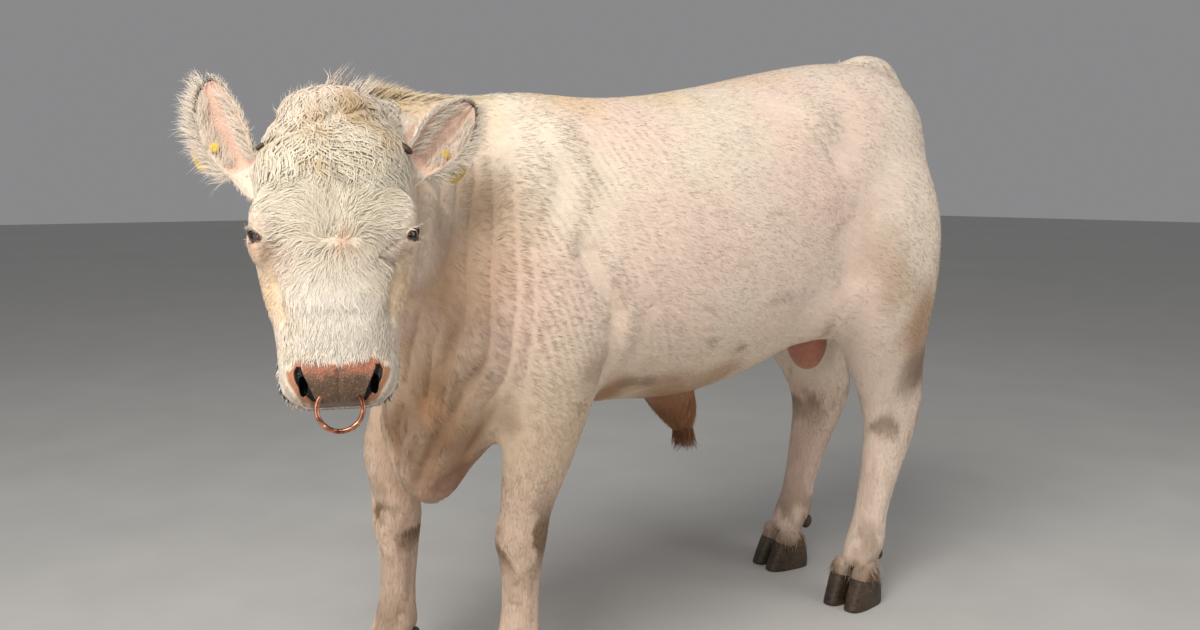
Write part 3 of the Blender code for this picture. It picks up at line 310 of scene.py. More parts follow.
def smoothRows(rows, steps):
    rows = np.array(rows, float)
    padded = np.vstack([2 * rows[0] - rows[1], rows, 2 * rows[-1] - rows[-2]])
    out = []
    for i in range(1, len(padded) - 2):
        a, b, c, d = padded[i - 1], padded[i], padded[i + 1], padded[i + 2]
        for k in range(steps):
            t = k / steps
            out.append(0.5 * (2 * b + (c - a) * t + (2 * a - 5 * b + 4 * c - d) * t ** 2
                              + (3 * b - a - 3 * c + d) * t ** 3))
    out.append(padded[-2])
    return np.array(out)


def ringPoints(centre, side, up, half, reachUp, reachDown, fullness, count):
    points = []
    for i in range(count):
        angle = 2 * math.pi * i / count
        c, s = math.cos(angle), math.sin(angle)
        x = math.copysign(abs(c) ** (2 / fullness), c) * half
        z = math.copysign(abs(s) ** (2 / fullness), s) * (reachUp if s > 0 else reachDown)
        points.append(centre + side * x + up * z)
    return points


def loft(name, rings, leaf=False):
    # closes a row of equal rings; a leaf has thin crescent ends
    count = len(rings[0])
    verts = [p for r in rings for p in r]
    faces = []
    for i in range(len(rings) - 1):
        for j in range(count):
            k = (j + 1) % count
            faces.append((i * count + j, i * count + k, (i + 1) * count + k, (i + 1) * count + j))
    for last, start in ((False, 0), (True, (len(rings) - 1) * count)):
        if leaf:
            for j in range(count // 2):
                corners = (j, j + 1, count - 1 - j, (count - j) % count)
                corners = [start + c for c in dict.fromkeys(corners)]
                faces.append(tuple(corners if last else corners[::-1]))
            continue
        verts.append(sum((Vector(p) for p in rings[-1 if last else 0]), Vector()) / count)
        for j in range(count):
            pair = (start + j, start + (j + 1) % count)
            faces.append((*(pair if last else pair[::-1]), len(verts) - 1))
    return outward(meshObject(name, verts, faces))


def frameMatrix(origin, xAxis, zAxis):
    z = zAxis.normalized()
    x = (xAxis - z * xAxis.dot(z)).normalized()
    return Matrix.Translation(origin) @ Matrix((x, z.cross(x), z)).transposed().to_4x4()


def ball(name, centre, radii, turn=None, segments=24, rings=14):
    bm = bmesh.new()
    bmesh.ops.create_uvsphere(bm, u_segments=segments, v_segments=rings, radius=1.0)
    bm.transform(Matrix.Translation(centre) @ (turn or Matrix.Identity(4))
                 @ Matrix.Diagonal((*radii, 1.0)))
    return bmeshObject(name, bm)


def tube(name, points, radii, sides=12, facing=None, flat=1.0):
    rings = []
    for i, point in enumerate(points):
        ahead = (points[min(i + 1, len(points) - 1)] - points[max(i - 1, 0)]).normalized()
        hint = facing or (Vector((0, 0, 1)) if abs(ahead.z) < 0.9 else Vector((1, 0, 0)))
        side = ahead.cross(hint).normalized()
        up = side.cross(ahead)
        rings.append([point + side * math.cos(a) * radii[i] + up * math.sin(a) * radii[i] * flat
                      for a in (2 * math.pi * j / sides for j in range(sides))])
    return loft(name, rings)


def roundTube(name, rows, sides, steps):
    rows = smoothRows(rows, steps)
    return tube(name, [Vector(r[:3]) for r in rows], [r[3] for r in rows], sides,
                Vector((0, 1, 0)))


def relax(obj, rounds, softness):
    # moves each point towards the middle of its neighbours, by its softness
    mesh = obj.data
    co = readPoints(mesh)
    ends = np.empty(len(mesh.edges) * 2, int)
    mesh.edges.foreach_get("vertices", ends)
    a, b = ends[0::2], ends[1::2]
    share = softness(co)
    moving = share > 0.001
    use = moving[a] | moving[b]
    a, b = a[use], b[use]
    count = np.maximum(np.bincount(np.concatenate([a, b]), minlength=len(co)), 1)
    share = 0.5 * share[:, None]
    for _ in range(rounds):
        total = np.empty_like(co)
        for axis in range(3):
            total[:, axis] = (np.bincount(a, co[b, axis], len(co))
                              + np.bincount(b, co[a, axis], len(co)))
        co += share * (total / count[:, None] - co)
    writePoints(mesh, co)


def keepLargest(obj):
    mesh = obj.data
    ends = np.empty(len(mesh.edges) * 2, int)
    mesh.edges.foreach_get("vertices", ends)
    a, b = ends[0::2], ends[1::2]
    label = np.arange(len(mesh.vertices))
    while True:
        low = np.minimum(label[a], label[b])
        new = label.copy()
        np.minimum.at(new, a, low)
        np.minimum.at(new, b, low)
        new = new[new]
        if (new == label).all():
            break
        label = new
    names, sizes = np.unique(label, return_counts=True)
    if len(names) == 1:
        return obj
    keep = label == names[sizes.argmax()]
    bm = bmesh.new()
    bm.from_mesh(mesh)
    bm.verts.ensure_lookup_table()
    bmesh.ops.delete(bm, geom=[bm.verts[i] for i in np.nonzero(~keep)[0]], context="VERTS")
    bm.to_mesh(mesh)
    bm.free()
    return obj


def blended(name, pieces, voxel, rounds, softness):
    merged = bmesh.new()
    for piece in pieces:
        merged.from_mesh(piece.data)
        bpy.data.objects.remove(piece)
    obj = bmeshObject(name, merged)
    mod = obj.modifiers.new("Remesh", "REMESH")
    mod.mode = "VOXEL"
    mod.voxel_size = voxel
    baked(obj)
    keepLargest(obj)
    relax(obj, rounds, softness)
    return subdivided(obj)


def smoothStep(low, high, value):
    t = np.clip((value - low) / (high - low), 0, 1)
    return t * t * (3 - 2 * t)


def bump(value, middle, width):
    return np.exp(-((value - middle) / width) ** 2)


def valueNoise(points, size, seed=0):
    # smooth random values from 0 to 1 on a lattice of that size
    q = points / size
    cell = np.floor(q).astype(np.int64)
    f = q - cell
    f = f * f * (3 - 2 * f)
    total = np.zeros(len(points))
    for corner in range(8):
        offset = np.array([corner & 1, corner >> 1 & 1, corner >> 2 & 1])
        c = cell + offset
        h = c[:, 0] * 73856093 ^ c[:, 1] * 19349663 ^ c[:, 2] * 83492791 ^ (seed + 1) * 40503
        h = (h & 0xFFFFFF) * 48271 % 2147483647
        h = (h ^ (h >> 11)) * 16807 % 2147483647
        total += np.prod(np.where(offset, f, 1 - f), axis=1) * (h % 65536) / 65535
    return total


def layeredNoise(points, size, seed=0):
    return (valueNoise(points, size, seed) * 0.6 + valueNoise(points, size * 0.47, seed + 3) * 0.28
            + valueNoise(points, size * 0.2, seed + 7) * 0.12)


def lineDistance(points, line):
    # distance to a row of points joined by straight lines, and the share along it
    best = np.full(len(points), 9.0)
    share = np.zeros(len(points))
    line = np.array([tuple(p) for p in line], float)
    for i in range(len(line) - 1):
        a, b = line[i], line[i + 1]
        t = np.clip((points - a) @ (b - a) / ((b - a) @ (b - a)), 0, 1)
        d = np.linalg.norm(points - a - t[:, None] * (b - a), axis=1)
        near = d < best
        best[near] = d[near]
        share[near] = ((i + t) / (len(line) - 1))[near]
    return best, share


# flesh: the trunk, neck and limbs in one surface, the head in a finer one

bodyForms = {
    "shoulder": (0.400, 0.150, 0.920, 0.130, 0.080, 0.240),
    "pointOfShoulder": (0.510, 0.135, 0.780, 0.080, 0.075, 0.120),
    "hip": (-0.290, 0.180, 1.150, 0.130, 0.072, 0.072),
    "pin": (-0.738, 0.085, 1.200, 0.048, 0.050, 0.060),
    "flank": (-0.340, 0.185, 0.790, 0.130, 0.075, 0.120),
}
middleForms = [
    (-0.738, 0.148, 0.510, 0.026, 0.024, 0.045),
    (-0.800, -0.148, 0.510, 0.026, 0.024, 0.045),
    (0.522, 0.005, 0.600, 0.120, 0.100, 0.135),
    (0.548, 0.012, 0.505, 0.086, 0.052, 0.098),
    (0.500, 0.022, 1.110, 0.190, 0.085, 0.085),
    (-0.050, 0.0, 0.605, 0.150, 0.058, 0.052),
]
# down the face, sideways, out of the face, then the three radii
headForms = [
    (0.195, 0.092, -0.026, 0.034, 0.042, 0.021),
    (0.221, 0.095, -0.052, 0.036, 0.052, 0.038),
    (0.232, 0.074, -0.145, 0.044, 0.088, 0.068),
    (0.442, 0.054, -0.030, 0.027, 0.034, 0.024),
    (0.447, 0.044, -0.056, 0.036, 0.030, 0.034),
    (0.100, 0.102, -0.092, 0.030, 0.032, 0.028),
    (0.438, 0.0, -0.105, 0.046, 0.032, 0.030),
    (0.024, 0.0, -0.060, 0.082, 0.048, 0.056),
    (0.120, 0.0, -0.175, 0.100, 0.105, 0.080),
]
fleshSettings = {"bodyVoxel": 0.009, "bodyRounds": 80, "headVoxel": 0.0045, "headRounds": 26,
                 "shoulderLean": -14.0}


def trunk():
    rings = [ringPoints(Vector((x, 0, wide)), Vector((0, 1, 0)), Vector((0, 0, 1)), half,
                        top - wide, wide - bottom, full, 40)
             for x, top, bottom, half, wide, full in smoothRows(trunkRows, 4)]
    return loft("trunk", rings)


def neck():
    rows = smoothRows(neckRows, 4)
    centres = [Vector(r[:3]) for r in rows]
    rings = []
    for i, row in enumerate(rows):
        ahead = centres[min(i + 1, len(rows) - 1)] - centres[max(i - 1, 0)]
        ahead.z *= 0.4
        side = Vector((0, 0, 1)).cross(ahead).normalized()
        up = ahead.normalized().cross(side)
        rings.append(ringPoints(centres[i], side, up, row[3], row[4], row[5], 2.0, 32))
    return loft("neck", rings)


def headCore():
    rings = []
    for down, half, face, jaw, full in smoothRows(headRows, 3):
        middle = face * 0.45 + jaw * 0.55
        rings.append(ringPoints(headPoint(down, 0, middle), headLeft, faceOut, half,
                                face - middle, middle - jaw, full, 36))
    return loft("headCore", rings)


def limb(rows, place, s, lag=0.0, topPlace=None):
    rings = []
    for x, y, z, front, back, half in smoothRows(rows, 3):
        shift = lag * math.exp(-((z - 0.50) / 0.20) ** 2)
        high = min(max((z - 0.50) / 0.45, 0), 1) if topPlace else 0
        base = place[0] * (1 - high) + (topPlace or 0) * high
        rings.append(ringPoints(Vector((base + x - shift, place[1] + s * y, z)),
                                Vector((0, 1, 0)), Vector((1, 0, 0)), half,
                                front + shift * 0.7, back, 2.1, 24))
    return loft("limb", rings)


def bodyPieces():
    pieces = [trunk(), neck()]
    lean = Matrix.Rotation(math.radians(fleshSettings["shoulderLean"]), 4, "Y")
    for side, s in sideSign.items():
        pieces.append(limb(forelegRows, stance["fore"][side], s, 0, stance["shoulderPlace"]))
        pieces.append(limb(hindlegRows, stance["hind"][side], s, stance["hockLag"][side]))
        for name, (x, y, z, *radii) in bodyForms.items():
            pieces.append(ball(name, Vector((x, s * y, z)), radii,
                               lean if name == "shoulder" else None))
    pieces += [ball("form", Vector(form[:3]), form[3:]) for form in middleForms]
    return pieces


def headPieces():
    pieces = [headCore()]
    turn = frameMatrix(Vector(), headLeft, faceOut)
    for down, left, out, *radii in headForms:
        for s in ((1, -1) if left else (1,)):
            pieces.append(ball("form", headPoint(down, s * left, out), radii, turn))
    return pieces


def bodySoftness(co):
    high = np.clip((co[:, 2] - 0.50) / 0.16, 0, 1)
    middle = np.clip((0.085 - np.abs(co[:, 1])) / 0.03, 0, 1)
    return np.clip(np.maximum(high, middle), 0.12, 1)


def headCoords(points):
    # down the face, to the left and out of the face
    rel = points - np.array(crown)
    return (rel @ np.array(faceDown), rel @ np.array(headLeft), rel @ np.array(faceOut))


def headShare(points):
    # 1 on the head, fading to 0 on the neck
    down, left, out = headCoords(points)
    middle = np.linalg.norm(points - np.array(headPoint(0.22, 0, -0.09)), axis=1)
    return 1 - smoothStep(0.30, 0.36, middle + np.maximum(-out - 0.16, 0) * 1.6)


fleshBody = blended("fleshBody", bodyPieces(), fleshSettings["bodyVoxel"],
                    fleshSettings["bodyRounds"], bodySoftness)
fleshHead = blended("fleshHead", headPieces(), fleshSettings["headVoxel"],
                    fleshSettings["headRounds"], lambda co: np.full(len(co), 0.7))
print("flesh body and head:", len(fleshBody.data.vertices), len(fleshHead.data.vertices))


def treeOf(obj):
    return BVHTree.FromObject(obj, bpy.context.evaluated_depsgraph_get())


def seamShare(trees, reach, box):
    # 1 where a point lies close to two of the surfaces that were joined
    def share(co):
        out = np.zeros(len(co))
        low, high = np.array(box[0]), np.array(box[1])
        for i in np.nonzero(((co > low) & (co < high)).all(axis=1))[0]:
            far = max(tree.find_nearest(Vector(co[i]), reach * 2)[3] or reach * 2
                      for tree in trees)
            out[i] = min(max(1.4 - far / reach, 0), 1)
        return out
    return share


neckSeam = {"reach": 0.020, "rounds": 22, "low": (0.56, -0.10, 0.70), "high": (0.92, 0.34, 1.24)}
bodyTree, headTree = treeOf(fleshBody), treeOf(fleshHead)
skin = boolean(fleshBody, fleshHead, "UNION")
keepLargest(skin)
relax(skin, neckSeam["rounds"], seamShare((bodyTree, headTree), neckSeam["reach"],
                                          (neckSeam["low"], neckSeam["high"])))
print("head joined to the body:", len(skin.data.vertices))


# folds: lines on the flesh that rise or sink, each a width, a height and points of x, y, z,
# mirrored to the other side

bodyFolds = [
    (0.020, -0.0075, [(0.365, 0.235, 0.955), (0.345, 0.249, 0.891), (0.290, 0.258, 0.800),
                      (0.285, 0.235, 0.720), (0.312, 0.205, 0.640)]),
    (0.026, 0.0040, [(0.322, 0.252, 0.900), (0.262, 0.262, 0.800), (0.262, 0.235, 0.700)]),
    (0.018, -0.0045, [(0.590, 0.120, 1.060), (0.585, 0.150, 0.930), (0.590, 0.145, 0.800)]),
    (0.034, -0.0080, [(0.660, 0.110, 0.860), (0.620, 0.105, 0.760), (0.575, 0.110, 0.690)]),
    (0.016, -0.0075, [(0.560, 0.165, 0.800), (0.588, 0.125, 0.700), (0.600, 0.060, 0.610)]),
    (0.015, -0.0070, [(0.520, 0.185, 0.740), (0.565, 0.130, 0.620), (0.575, 0.050, 0.530)]),
    (0.013, -0.0055, [(0.620, 0.110, 0.800), (0.635, 0.060, 0.720), (0.640, 0.005, 0.670)]),
    (0.014, -0.0060, [(0.480, 0.170, 0.700), (0.500, 0.130, 0.590), (0.520, 0.070, 0.500)]),
    (0.013, 0.0085, [(0.600, 0.092, 0.603), (0.614, 0.050, 0.550), (0.604, 0.012, 0.480)]),
    (0.016, -0.0110, [(0.627, 0.047, 0.640), (0.628, 0.024, 0.585), (0.618, 0.000, 0.520)]),
    (0.016, -0.0100, [(0.578, 0.112, 0.600), (0.590, 0.070, 0.520), (0.590, 0.024, 0.460)]),
    (0.014, -0.0090, [(0.560, 0.050, 0.462), (0.525, 0.056, 0.482), (0.491, 0.058, 0.500)]),
    (0.040, -0.0060, [(-0.300, 0.270, 0.960), (-0.345, 0.270, 0.880), (-0.355, 0.255, 0.790)]),
    (0.050, -0.0070, [(-0.380, 0.230, 1.190), (-0.330, 0.250, 1.120), (-0.270, 0.262, 1.080)]),
    (0.016, -0.0050, [(-0.300, 0.225, 0.760), (-0.330, 0.215, 0.700), (-0.330, 0.170, 0.660)]),
    (0.030, -0.0060, [(-0.700, 0.190, 1.060), (-0.665, 0.215, 0.920), (-0.640, 0.205, 0.800)]),
    (0.030, -0.0050, [(-0.560, 0.250, 1.020), (-0.575, 0.255, 0.900), (-0.600, 0.240, 0.780)]),
    (0.022, -0.0060, [(-0.740, 0.060, 1.250), (-0.775, 0.055, 1.180), (-0.790, 0.050, 1.080)]),
    (0.030, -0.0040, [(0.400, 0.150, 1.150), (0.380, 0.195, 1.050), (0.410, 0.220, 0.940)]),
    (0.030, 0.0040, [(0.350, 0.165, 1.150), (0.330, 0.215, 1.040), (0.395, 0.232, 0.900)]),
    (0.010, -0.0030, [(0.430, 0.180, 0.640), (0.400, 0.160, 0.600), (0.350, 0.150, 0.580)]),
]
# the grooves between bone and tendon on both sides of the cannons, on each leg
tendonGroove = {"width": 0.010, "depth": -0.0035, "side": 0.036, "back": -0.014}

# in head coordinates: down the face, sideways, out of the face
faceFolds = [
    (0.0060, -0.0048, [(0.229, 0.096, -0.024), (0.244, 0.082, -0.018), (0.260, 0.066, -0.014),
                       (0.272, 0.056, -0.010)]),
    (0.0055, -0.0022, [(0.206, 0.092, -0.022), (0.200, 0.106, -0.036), (0.206, 0.118, -0.055)]),
    (0.0075, 0.0042, [(0.214, 0.090, -0.020), (0.211, 0.104, -0.034), (0.216, 0.116, -0.052)]),
    (0.0050, -0.0018, [(0.246, 0.100, -0.032), (0.252, 0.108, -0.045), (0.250, 0.116, -0.062)]),
    (0.0045, -0.0012, [(0.259, 0.094, -0.030), (0.267, 0.106, -0.048), (0.265, 0.114, -0.068)]),
    (0.0170, -0.0068, [(0.280, 0.092, -0.046), (0.320, 0.082, -0.040), (0.360, 0.074, -0.036)]),
    (0.0120, 0.0030, [(0.250, 0.108, -0.078), (0.300, 0.102, -0.078), (0.345, 0.094, -0.072)]),
    (0.0150, 0.0028, [(0.306, 0.050, -0.010), (0.318, 0.024, -0.002), (0.322, 0.000, 0.000)]),
    (0.0110, -0.0024, [(0.334, 0.056, -0.010), (0.345, 0.026, -0.002), (0.350, 0.000, 0.000)]),
    (0.0090, -0.0012, [(0.240, 0.000, 0.000), (0.200, 0.002, 0.004), (0.150, 0.000, 0.006)]),
    (0.0050, 0.0016, [(0.420, 0.064, -0.016), (0.436, 0.071, -0.026), (0.456, 0.065, -0.038),
                      (0.470, 0.054, -0.040)]),
    (0.0050, -0.0016, [(0.430, 0.084, -0.040), (0.452, 0.078, -0.050), (0.470, 0.066, -0.056)]),
    (0.0034, -0.0016, [(0.424, 0.000, -0.002), (0.450, 0.000, -0.008), (0.476, 0.000, -0.026)]),
    (0.0050, 0.0022, [(0.408, 0.084, -0.078), (0.440, 0.074, -0.066), (0.474, 0.036, -0.050),
                      (0.480, 0.000, -0.048)]),
    (0.0060, 0.0024, [(0.400, 0.084, -0.100), (0.440, 0.070, -0.088), (0.470, 0.034, -0.074),
                      (0.474, 0.000, -0.072)]),
]
foldGain, narrowFold = 1.15, 0.019
neckFolds = {"spacing": 0.034, "depth": 0.0050, "farSide": 0.35}
wrinkles = {"spacing": 0.019, "depth": 0.0009, "slope": 0.42}
coatDepth = {"body": 0.0042, "leg": 0.0022, "face": 0.0020, "muzzle": 0.0005}


def ramp(x, points):
    return np.interp(x, [p[0] for p in points], [p[1] for p in points])


def muzzleShare(points):
    # the bare plane between and above the nostrils, and the lips' edge
    down, left, out = headCoords(points)
    top = 0.418 + 0.006 * np.cos(left / 0.062 * math.pi)
    width = ramp(down, [(0.41, 0.060), (0.43, 0.068), (0.455, 0.062), (0.475, 0.046), (0.49, 0.040)])
    plane = smoothStep(top - 0.004, top + 0.003, down) * (1 - smoothStep(width - 0.006, width + 0.002,
                                                                         np.abs(left)))
    return plane * smoothStep(-0.075, -0.060, out)


def inset(points):
    depth = np.full(len(points), coatDepth["body"])
    low = 1 - smoothStep(0.42, 0.62, points[:, 2])
    depth += (coatDepth["leg"] - depth) * low
    depth += (coatDepth["face"] - depth) * headShare(points)
    return depth + (coatDepth["muzzle"] - depth) * muzzleShare(points)


def foldSum(points, folds, place=Vector, mirror=(1, -1)):
    total = np.zeros(len(points))
    for width, height, line in folds:
        for s in mirror:
            spots = np.array([tuple(place(Vector((a, s * b, c)))) for a, b, c in line])
            reach = width * 2.6
            near = ((points > spots.min(0) - reach) & (points < spots.max(0) + reach)).all(axis=1)
            if not near.any():
                continue
            far, share = lineDistance(points[near], spots)
            fade = np.clip(np.minimum(share, 1 - share) * 5 + 0.25, 0, 1)
            total[near] += height * fade * np.exp(-(far / width) ** 2)
    return total


def waveFold(phase):
    # rounded ridges with narrow grooves between them
    return np.abs(np.sin(math.pi * phase)) ** 0.7 - 1.0


def neckWaves(points):
    x, y, z = points.T
    warp = (layeredNoise(points * (1, 1, 0.22), 0.15, 5) - 0.5) * 3.0
    phase = (x + 0.10 * (z - 0.9)) / neckFolds["spacing"] + warp
    place = (smoothStep(0.43, 0.53, x) * (1 - smoothStep(0.66, 0.74, x))
             * smoothStep(0.56, 0.68, z) * (1 - smoothStep(1.02, 1.13, z)))
    place *= neckFolds["farSide"] + (1 - neckFolds["farSide"]) * smoothStep(-0.02, 0.08, y)
    strength = 0.15 + 1.3 * layeredNoise(points, 0.10, 9)
    return waveFold(phase) * neckFolds["depth"] * place * strength


def fineWaves(points):
    # long thin wrinkles from the top line down over shoulder and ribs
    x, y, z = points.T
    warp = (layeredNoise(points * (1, 1, 0.5), 0.22, 21) - 0.5) * 3.0
    phase = (x - wrinkles["slope"] * (z - 0.9)) / wrinkles["spacing"] + warp
    place = smoothStep(0.02, 0.30, x) * smoothStep(0.60, 0.75, z) * (1 - headShare(points))
    strength = smoothStep(0.35, 0.7, layeredNoise(points, 0.17, 23))
    return waveFold(phase) * wrinkles["depth"] * place * (0.25 + 0.75 * strength)


def tendonFolds():
    rows = []
    for kind, limbRows in (("fore", forelegRows), ("hind", hindlegRows)):
        for side, s in sideSign.items():
            x, y = stance[kind][side]
            lag = stance["hockLag"][side] if kind == "hind" else 0.0
            for t in (1, -1):
                line = []
                for z in (0.30, 0.24, 0.18):
                    heights = [r[2] for r in limbRows][::-1]
                    cx = np.interp(z, heights, [r[0] for r in limbRows][::-1])
                    cx -= lag * math.exp(-((z - 0.50) / 0.20) ** 2)
                    line.append((x + cx + tendonGroove["back"], y + t * tendonGroove["side"], z))
                rows.append((tendonGroove["width"], tendonGroove["depth"], line))
    return rows


def shapeSkin(obj):
    # the coat's depth goes in along the normals, then the folds
    mesh = obj.data
    points, normals = readPoints(mesh), readNormals(mesh)
    move = -inset(points)
    move += foldSum(points, bodyFolds) * foldGain
    move += foldSum(points, tendonFolds(), mirror=(1,))
    move += foldSum(points, faceFolds, lambda v: headPoint(*v))
    move += neckWaves(points) + fineWaves(points)
    move += (layeredNoise(points, 0.09, 31) - 0.5) * 0.0028 * (1 - headShare(points))
    writePoints(mesh, points + normals * move[:, None])


shapeSkin(skin)
print("folds set")

eyeSizes = {"radius": 0.0195, "sink": 0.0015, "turn": math.radians(46.0), "slope": 0.72,
            "slit": (0.0162, 0.0054), "lid": 0.0027}


def lookAxes(side):
    s, turn = sideSign[side], eyeSizes["turn"]
    look = (faceOut * math.cos(turn) + headLeft * s * math.sin(turn)).normalized()
    across = (headLeft * s * math.cos(turn) - faceOut * math.sin(turn)).normalized()
    return look, (across - faceDown * eyeSizes["slope"]).normalized()


eyeMiddle = {side: boxMiddle("eye_" + side) - modelShift for side in sideSign}
eyeSpot = {side: eyeMiddle[side] + lookAxes(side)[0] * (eyeSizes["radius"] + eyeSizes["sink"])
           for side in sideSign}


def earFrame(side):
    s = sideSign[side]
    lie, face = earSettings["lie"][side], earSettings["face"][side]
    down, out = earSettings["place"][side]
    along = (headLeft * s * lie[0] + Vector((0, 0, lie[1])) + headForward * lie[2]).normalized()
    cup = headLeft * s * face[0] + Vector((0, 0, face[1])) + headForward * face[2]
    cup = (cup - along * cup.dot(along)).normalized()
    return headPoint(down, s * out, earSettings["back"]), along, along.cross(cup) * s, cup


def earArrays(side):
    return [np.array(v) for v in earFrame(side)]


def earMiddle(side, share):
    origin, along, across, cup = earFrame(side)
    bow = earSettings["bow"][side] * 4 * share * (1 - share)
    return origin + along * earSettings["length"] * share + across * bow


def earLeaf(side, half=11, steps=5):
    # a hollow leaf with lengthwise ridges inside and an edge that waves slightly
    origin, along, across, cup = earFrame(side)
    rings = []
    for share, width, deep, thick in smoothRows(earRows, steps):
        centre = earMiddle(side, share)
        width *= 1 + 0.025 * math.sin(share * 21) * (share > 0.3)
        outer, inner = [], []
        for i in range(-half, half + 1):
            t = i / half
            base = centre + across * width * t + cup * deep * (t * t - 0.5)
            outer.append(base - cup * thick * (1 - t * t))
            ridge = 0.0014 * math.cos(t * 9.5) * (1 - t * t) * min(max(share * 3, 0), 1)
            inner.append(base + cup * (thick * 0.35 * (1 - abs(t)) + ridge))
        rings.append(outer + inner[1:-1][::-1])
    return loft("ear", rings, True)


def lidLoop(tree, side, count=56, sides=10):
    # a rounded rim along the eye's opening, the upper lid thicker
    look, across = lookAxes(side)
    up = look.cross(across)
    if up.dot(faceDown) > 0:
        up = -up
    verts, faces, points = [], [], []
    for k in range(count):
        a = 2 * math.pi * k / count
        spot = (eyeSpot[side] + across * eyeSizes["slit"][0] * 1.12 * math.cos(a)
                + up * (eyeSizes["slit"][1] + eyeSizes["lid"] * 0.8) * math.sin(a))
        points.append(tree.find_nearest(spot)[0])
    for i in range(count):
        ahead = (points[(i + 1) % count] - points[i - 1]).normalized()
        side2 = ahead.cross(look).normalized()
        rise = side2.cross(ahead)
        radius = eyeSizes["lid"] * (0.92 + 0.22 * math.sin(2 * math.pi * i / count))
        for j in range(sides):
            b = 2 * math.pi * j / sides
            verts.append(points[i] + (side2 * math.cos(b) + rise * math.sin(b)) * radius)
            k, m = (i + 1) % count, (j + 1) % sides
            faces.append((i * sides + j, k * sides + j, k * sides + m, i * sides + m))
    return outward(meshObject("lid", verts, faces))


clawSizes = {"side": 0.0293, "coronet": 0.064, "slope": 0.22}


def toeTop(kind, side, s):
    # the hairy top of a claw, down to a little below the coronet
    origin, ahead, out = footFrame(kind, side)
    rings = []
    for z, front, back, half in ((0.108, 0.021, 0.021, 0.017), (0.096, 0.033, 0.033, 0.0235),
                                 (0.084, 0.0375, 0.0375, 0.0256), (0.066, 0.0425, 0.0420, 0.0262),
                                 (0.056, 0.0430, 0.0425, 0.0250)):
        centre = origin + out * s * clawSizes["side"] + Vector((0, 0, z))
        ring = ringPoints(centre, out, ahead, half, front, back, 2.7, 24)
        for p in ring:
            p.z += (p - centre).dot(ahead) * clawSizes["slope"] * min((0.108 - z) / 0.045, 1)
        rings.append(ring)
    return loft("toe", rings)


scrotumSizes = {"centre": (-0.500, 0.0, 0.650), "radii": (0.048, 0.052, 0.076)}


def joinAll(obj, pieces):
    group = bpy.data.collections.new("joined")
    for piece in pieces:
        group.objects.link(piece)
    mod = obj.modifiers.new("Boolean", "BOOLEAN")
    mod.operation = "UNION"
    mod.solver = "MANIFOLD"
    mod.operand_type = "COLLECTION"
    mod.collection = group
    baked(obj)
    for piece in pieces:
        bpy.data.objects.remove(piece)
    bpy.data.collections.remove(group)
    return obj


skinTree = treeOf(skin)
extras = [earLeaf("left"), earLeaf("right"), roundTube("tail", tailRows, 16, 5),
          roundTube("sheath", sheathRows, 24, 6),
          ball("scrotum", Vector(scrotumSizes["centre"]), scrotumSizes["radii"], None, 40, 26)]
extraTrees = [treeOf(piece) for piece in extras]
extras += [lidLoop(skinTree, side) for side in sideSign]
extras += [toeTop(kind, side, s) for kind in ("fore", "hind") for side in sideSign for s in (1, -1)]
joinAll(skin, extras)
seams = [   # index of the joined form, reach, rounds, box
    (0, 0.016, 16, (0.60, 0.12, 1.00), (0.74, 0.26, 1.18)),
    (1, 0.016, 16, (0.84, 0.05, 1.00), (0.96, 0.20, 1.18)),
    (2, 0.020, 14, (-0.86, -0.08, 1.20), (-0.62, 0.08, 1.36)),
    (3, 0.014, 14, (-0.16, -0.10, 0.52), (0.04, 0.10, 0.64)),
    (4, 0.014, 14, (-0.60, -0.10, 0.60), (-0.40, 0.10, 0.76)),
]
for index, reach, rounds, low, high in seams:
    relax(skin, rounds, seamShare((skinTree, extraTrees[index]), reach, (low, high)))
print("ears, tail and lids joined:", len(skin.data.vertices))

# openings: the eyes, the nostrils, the mouth

nostrilRows = [(0.424, 0.0550, 0.0036), (0.432, 0.0565, 0.0062), (0.444, 0.0535, 0.0072),
               (0.456, 0.0470, 0.0064), (0.467, 0.0400, 0.0046), (0.474, 0.0350, 0.0026)]
passageRadii = (0.0075, 0.0160, 0.018)
mouthSizes = {"centre": (0.392, -0.088), "front": (0.470, -0.056), "sweep": math.radians(84.0),
              "depth": 0.0056}
ringSizes = {"radius": 0.0325, "tube": 0.0036, "top": (0.453, -0.020), "lean": math.radians(8.0)}


def faceSurface(tree, down, left):
    return tree.ray_cast(headPoint(down, left, 0.15), -faceOut)[0]


def nostrilCut(tree, s):
    rows = smoothRows(nostrilRows, 5)
    points = [faceSurface(tree, down, s * left) for down, left, _ in rows]
    comma = tube("nostril", points, [r[2] for r in rows], 20, faceOut)
    turn = frameMatrix(Vector(), headLeft, faceOut)
    passage = ball("passage", points[len(points) // 2] - faceOut * 0.012, passageRadii, turn, 20, 14)
    return boolean(comma, passage, "UNION")


def mouthCut(tree, count=49):
    centre = headPoint(mouthSizes["centre"][0], 0, mouthSizes["centre"][1])
    front = (headPoint(mouthSizes["front"][0], 0, mouthSizes["front"][1]) - centre).normalized()
    points, sizes = [], []
    for k in range(count):
        t = k / (count - 1)
        a = mouthSizes["sweep"] * (2 * t - 1)
        points.append(tree.ray_cast(centre, front * math.cos(a) + headLeft * math.sin(a))[0])
        sizes.append(mouthSizes["depth"] * (0.35 + 0.65 * math.sin(math.pi * t)))
    return tube("mouth", points, sizes, 12, front.cross(headLeft).normalized(), 0.30)


def eyeOpening(side):
    look, across = lookAxes(side)
    turn = frameMatrix(Vector(), across, look)
    return ball("opening", eyeSpot[side], (*eyeSizes["slit"], 0.0095), turn, 40, 20)


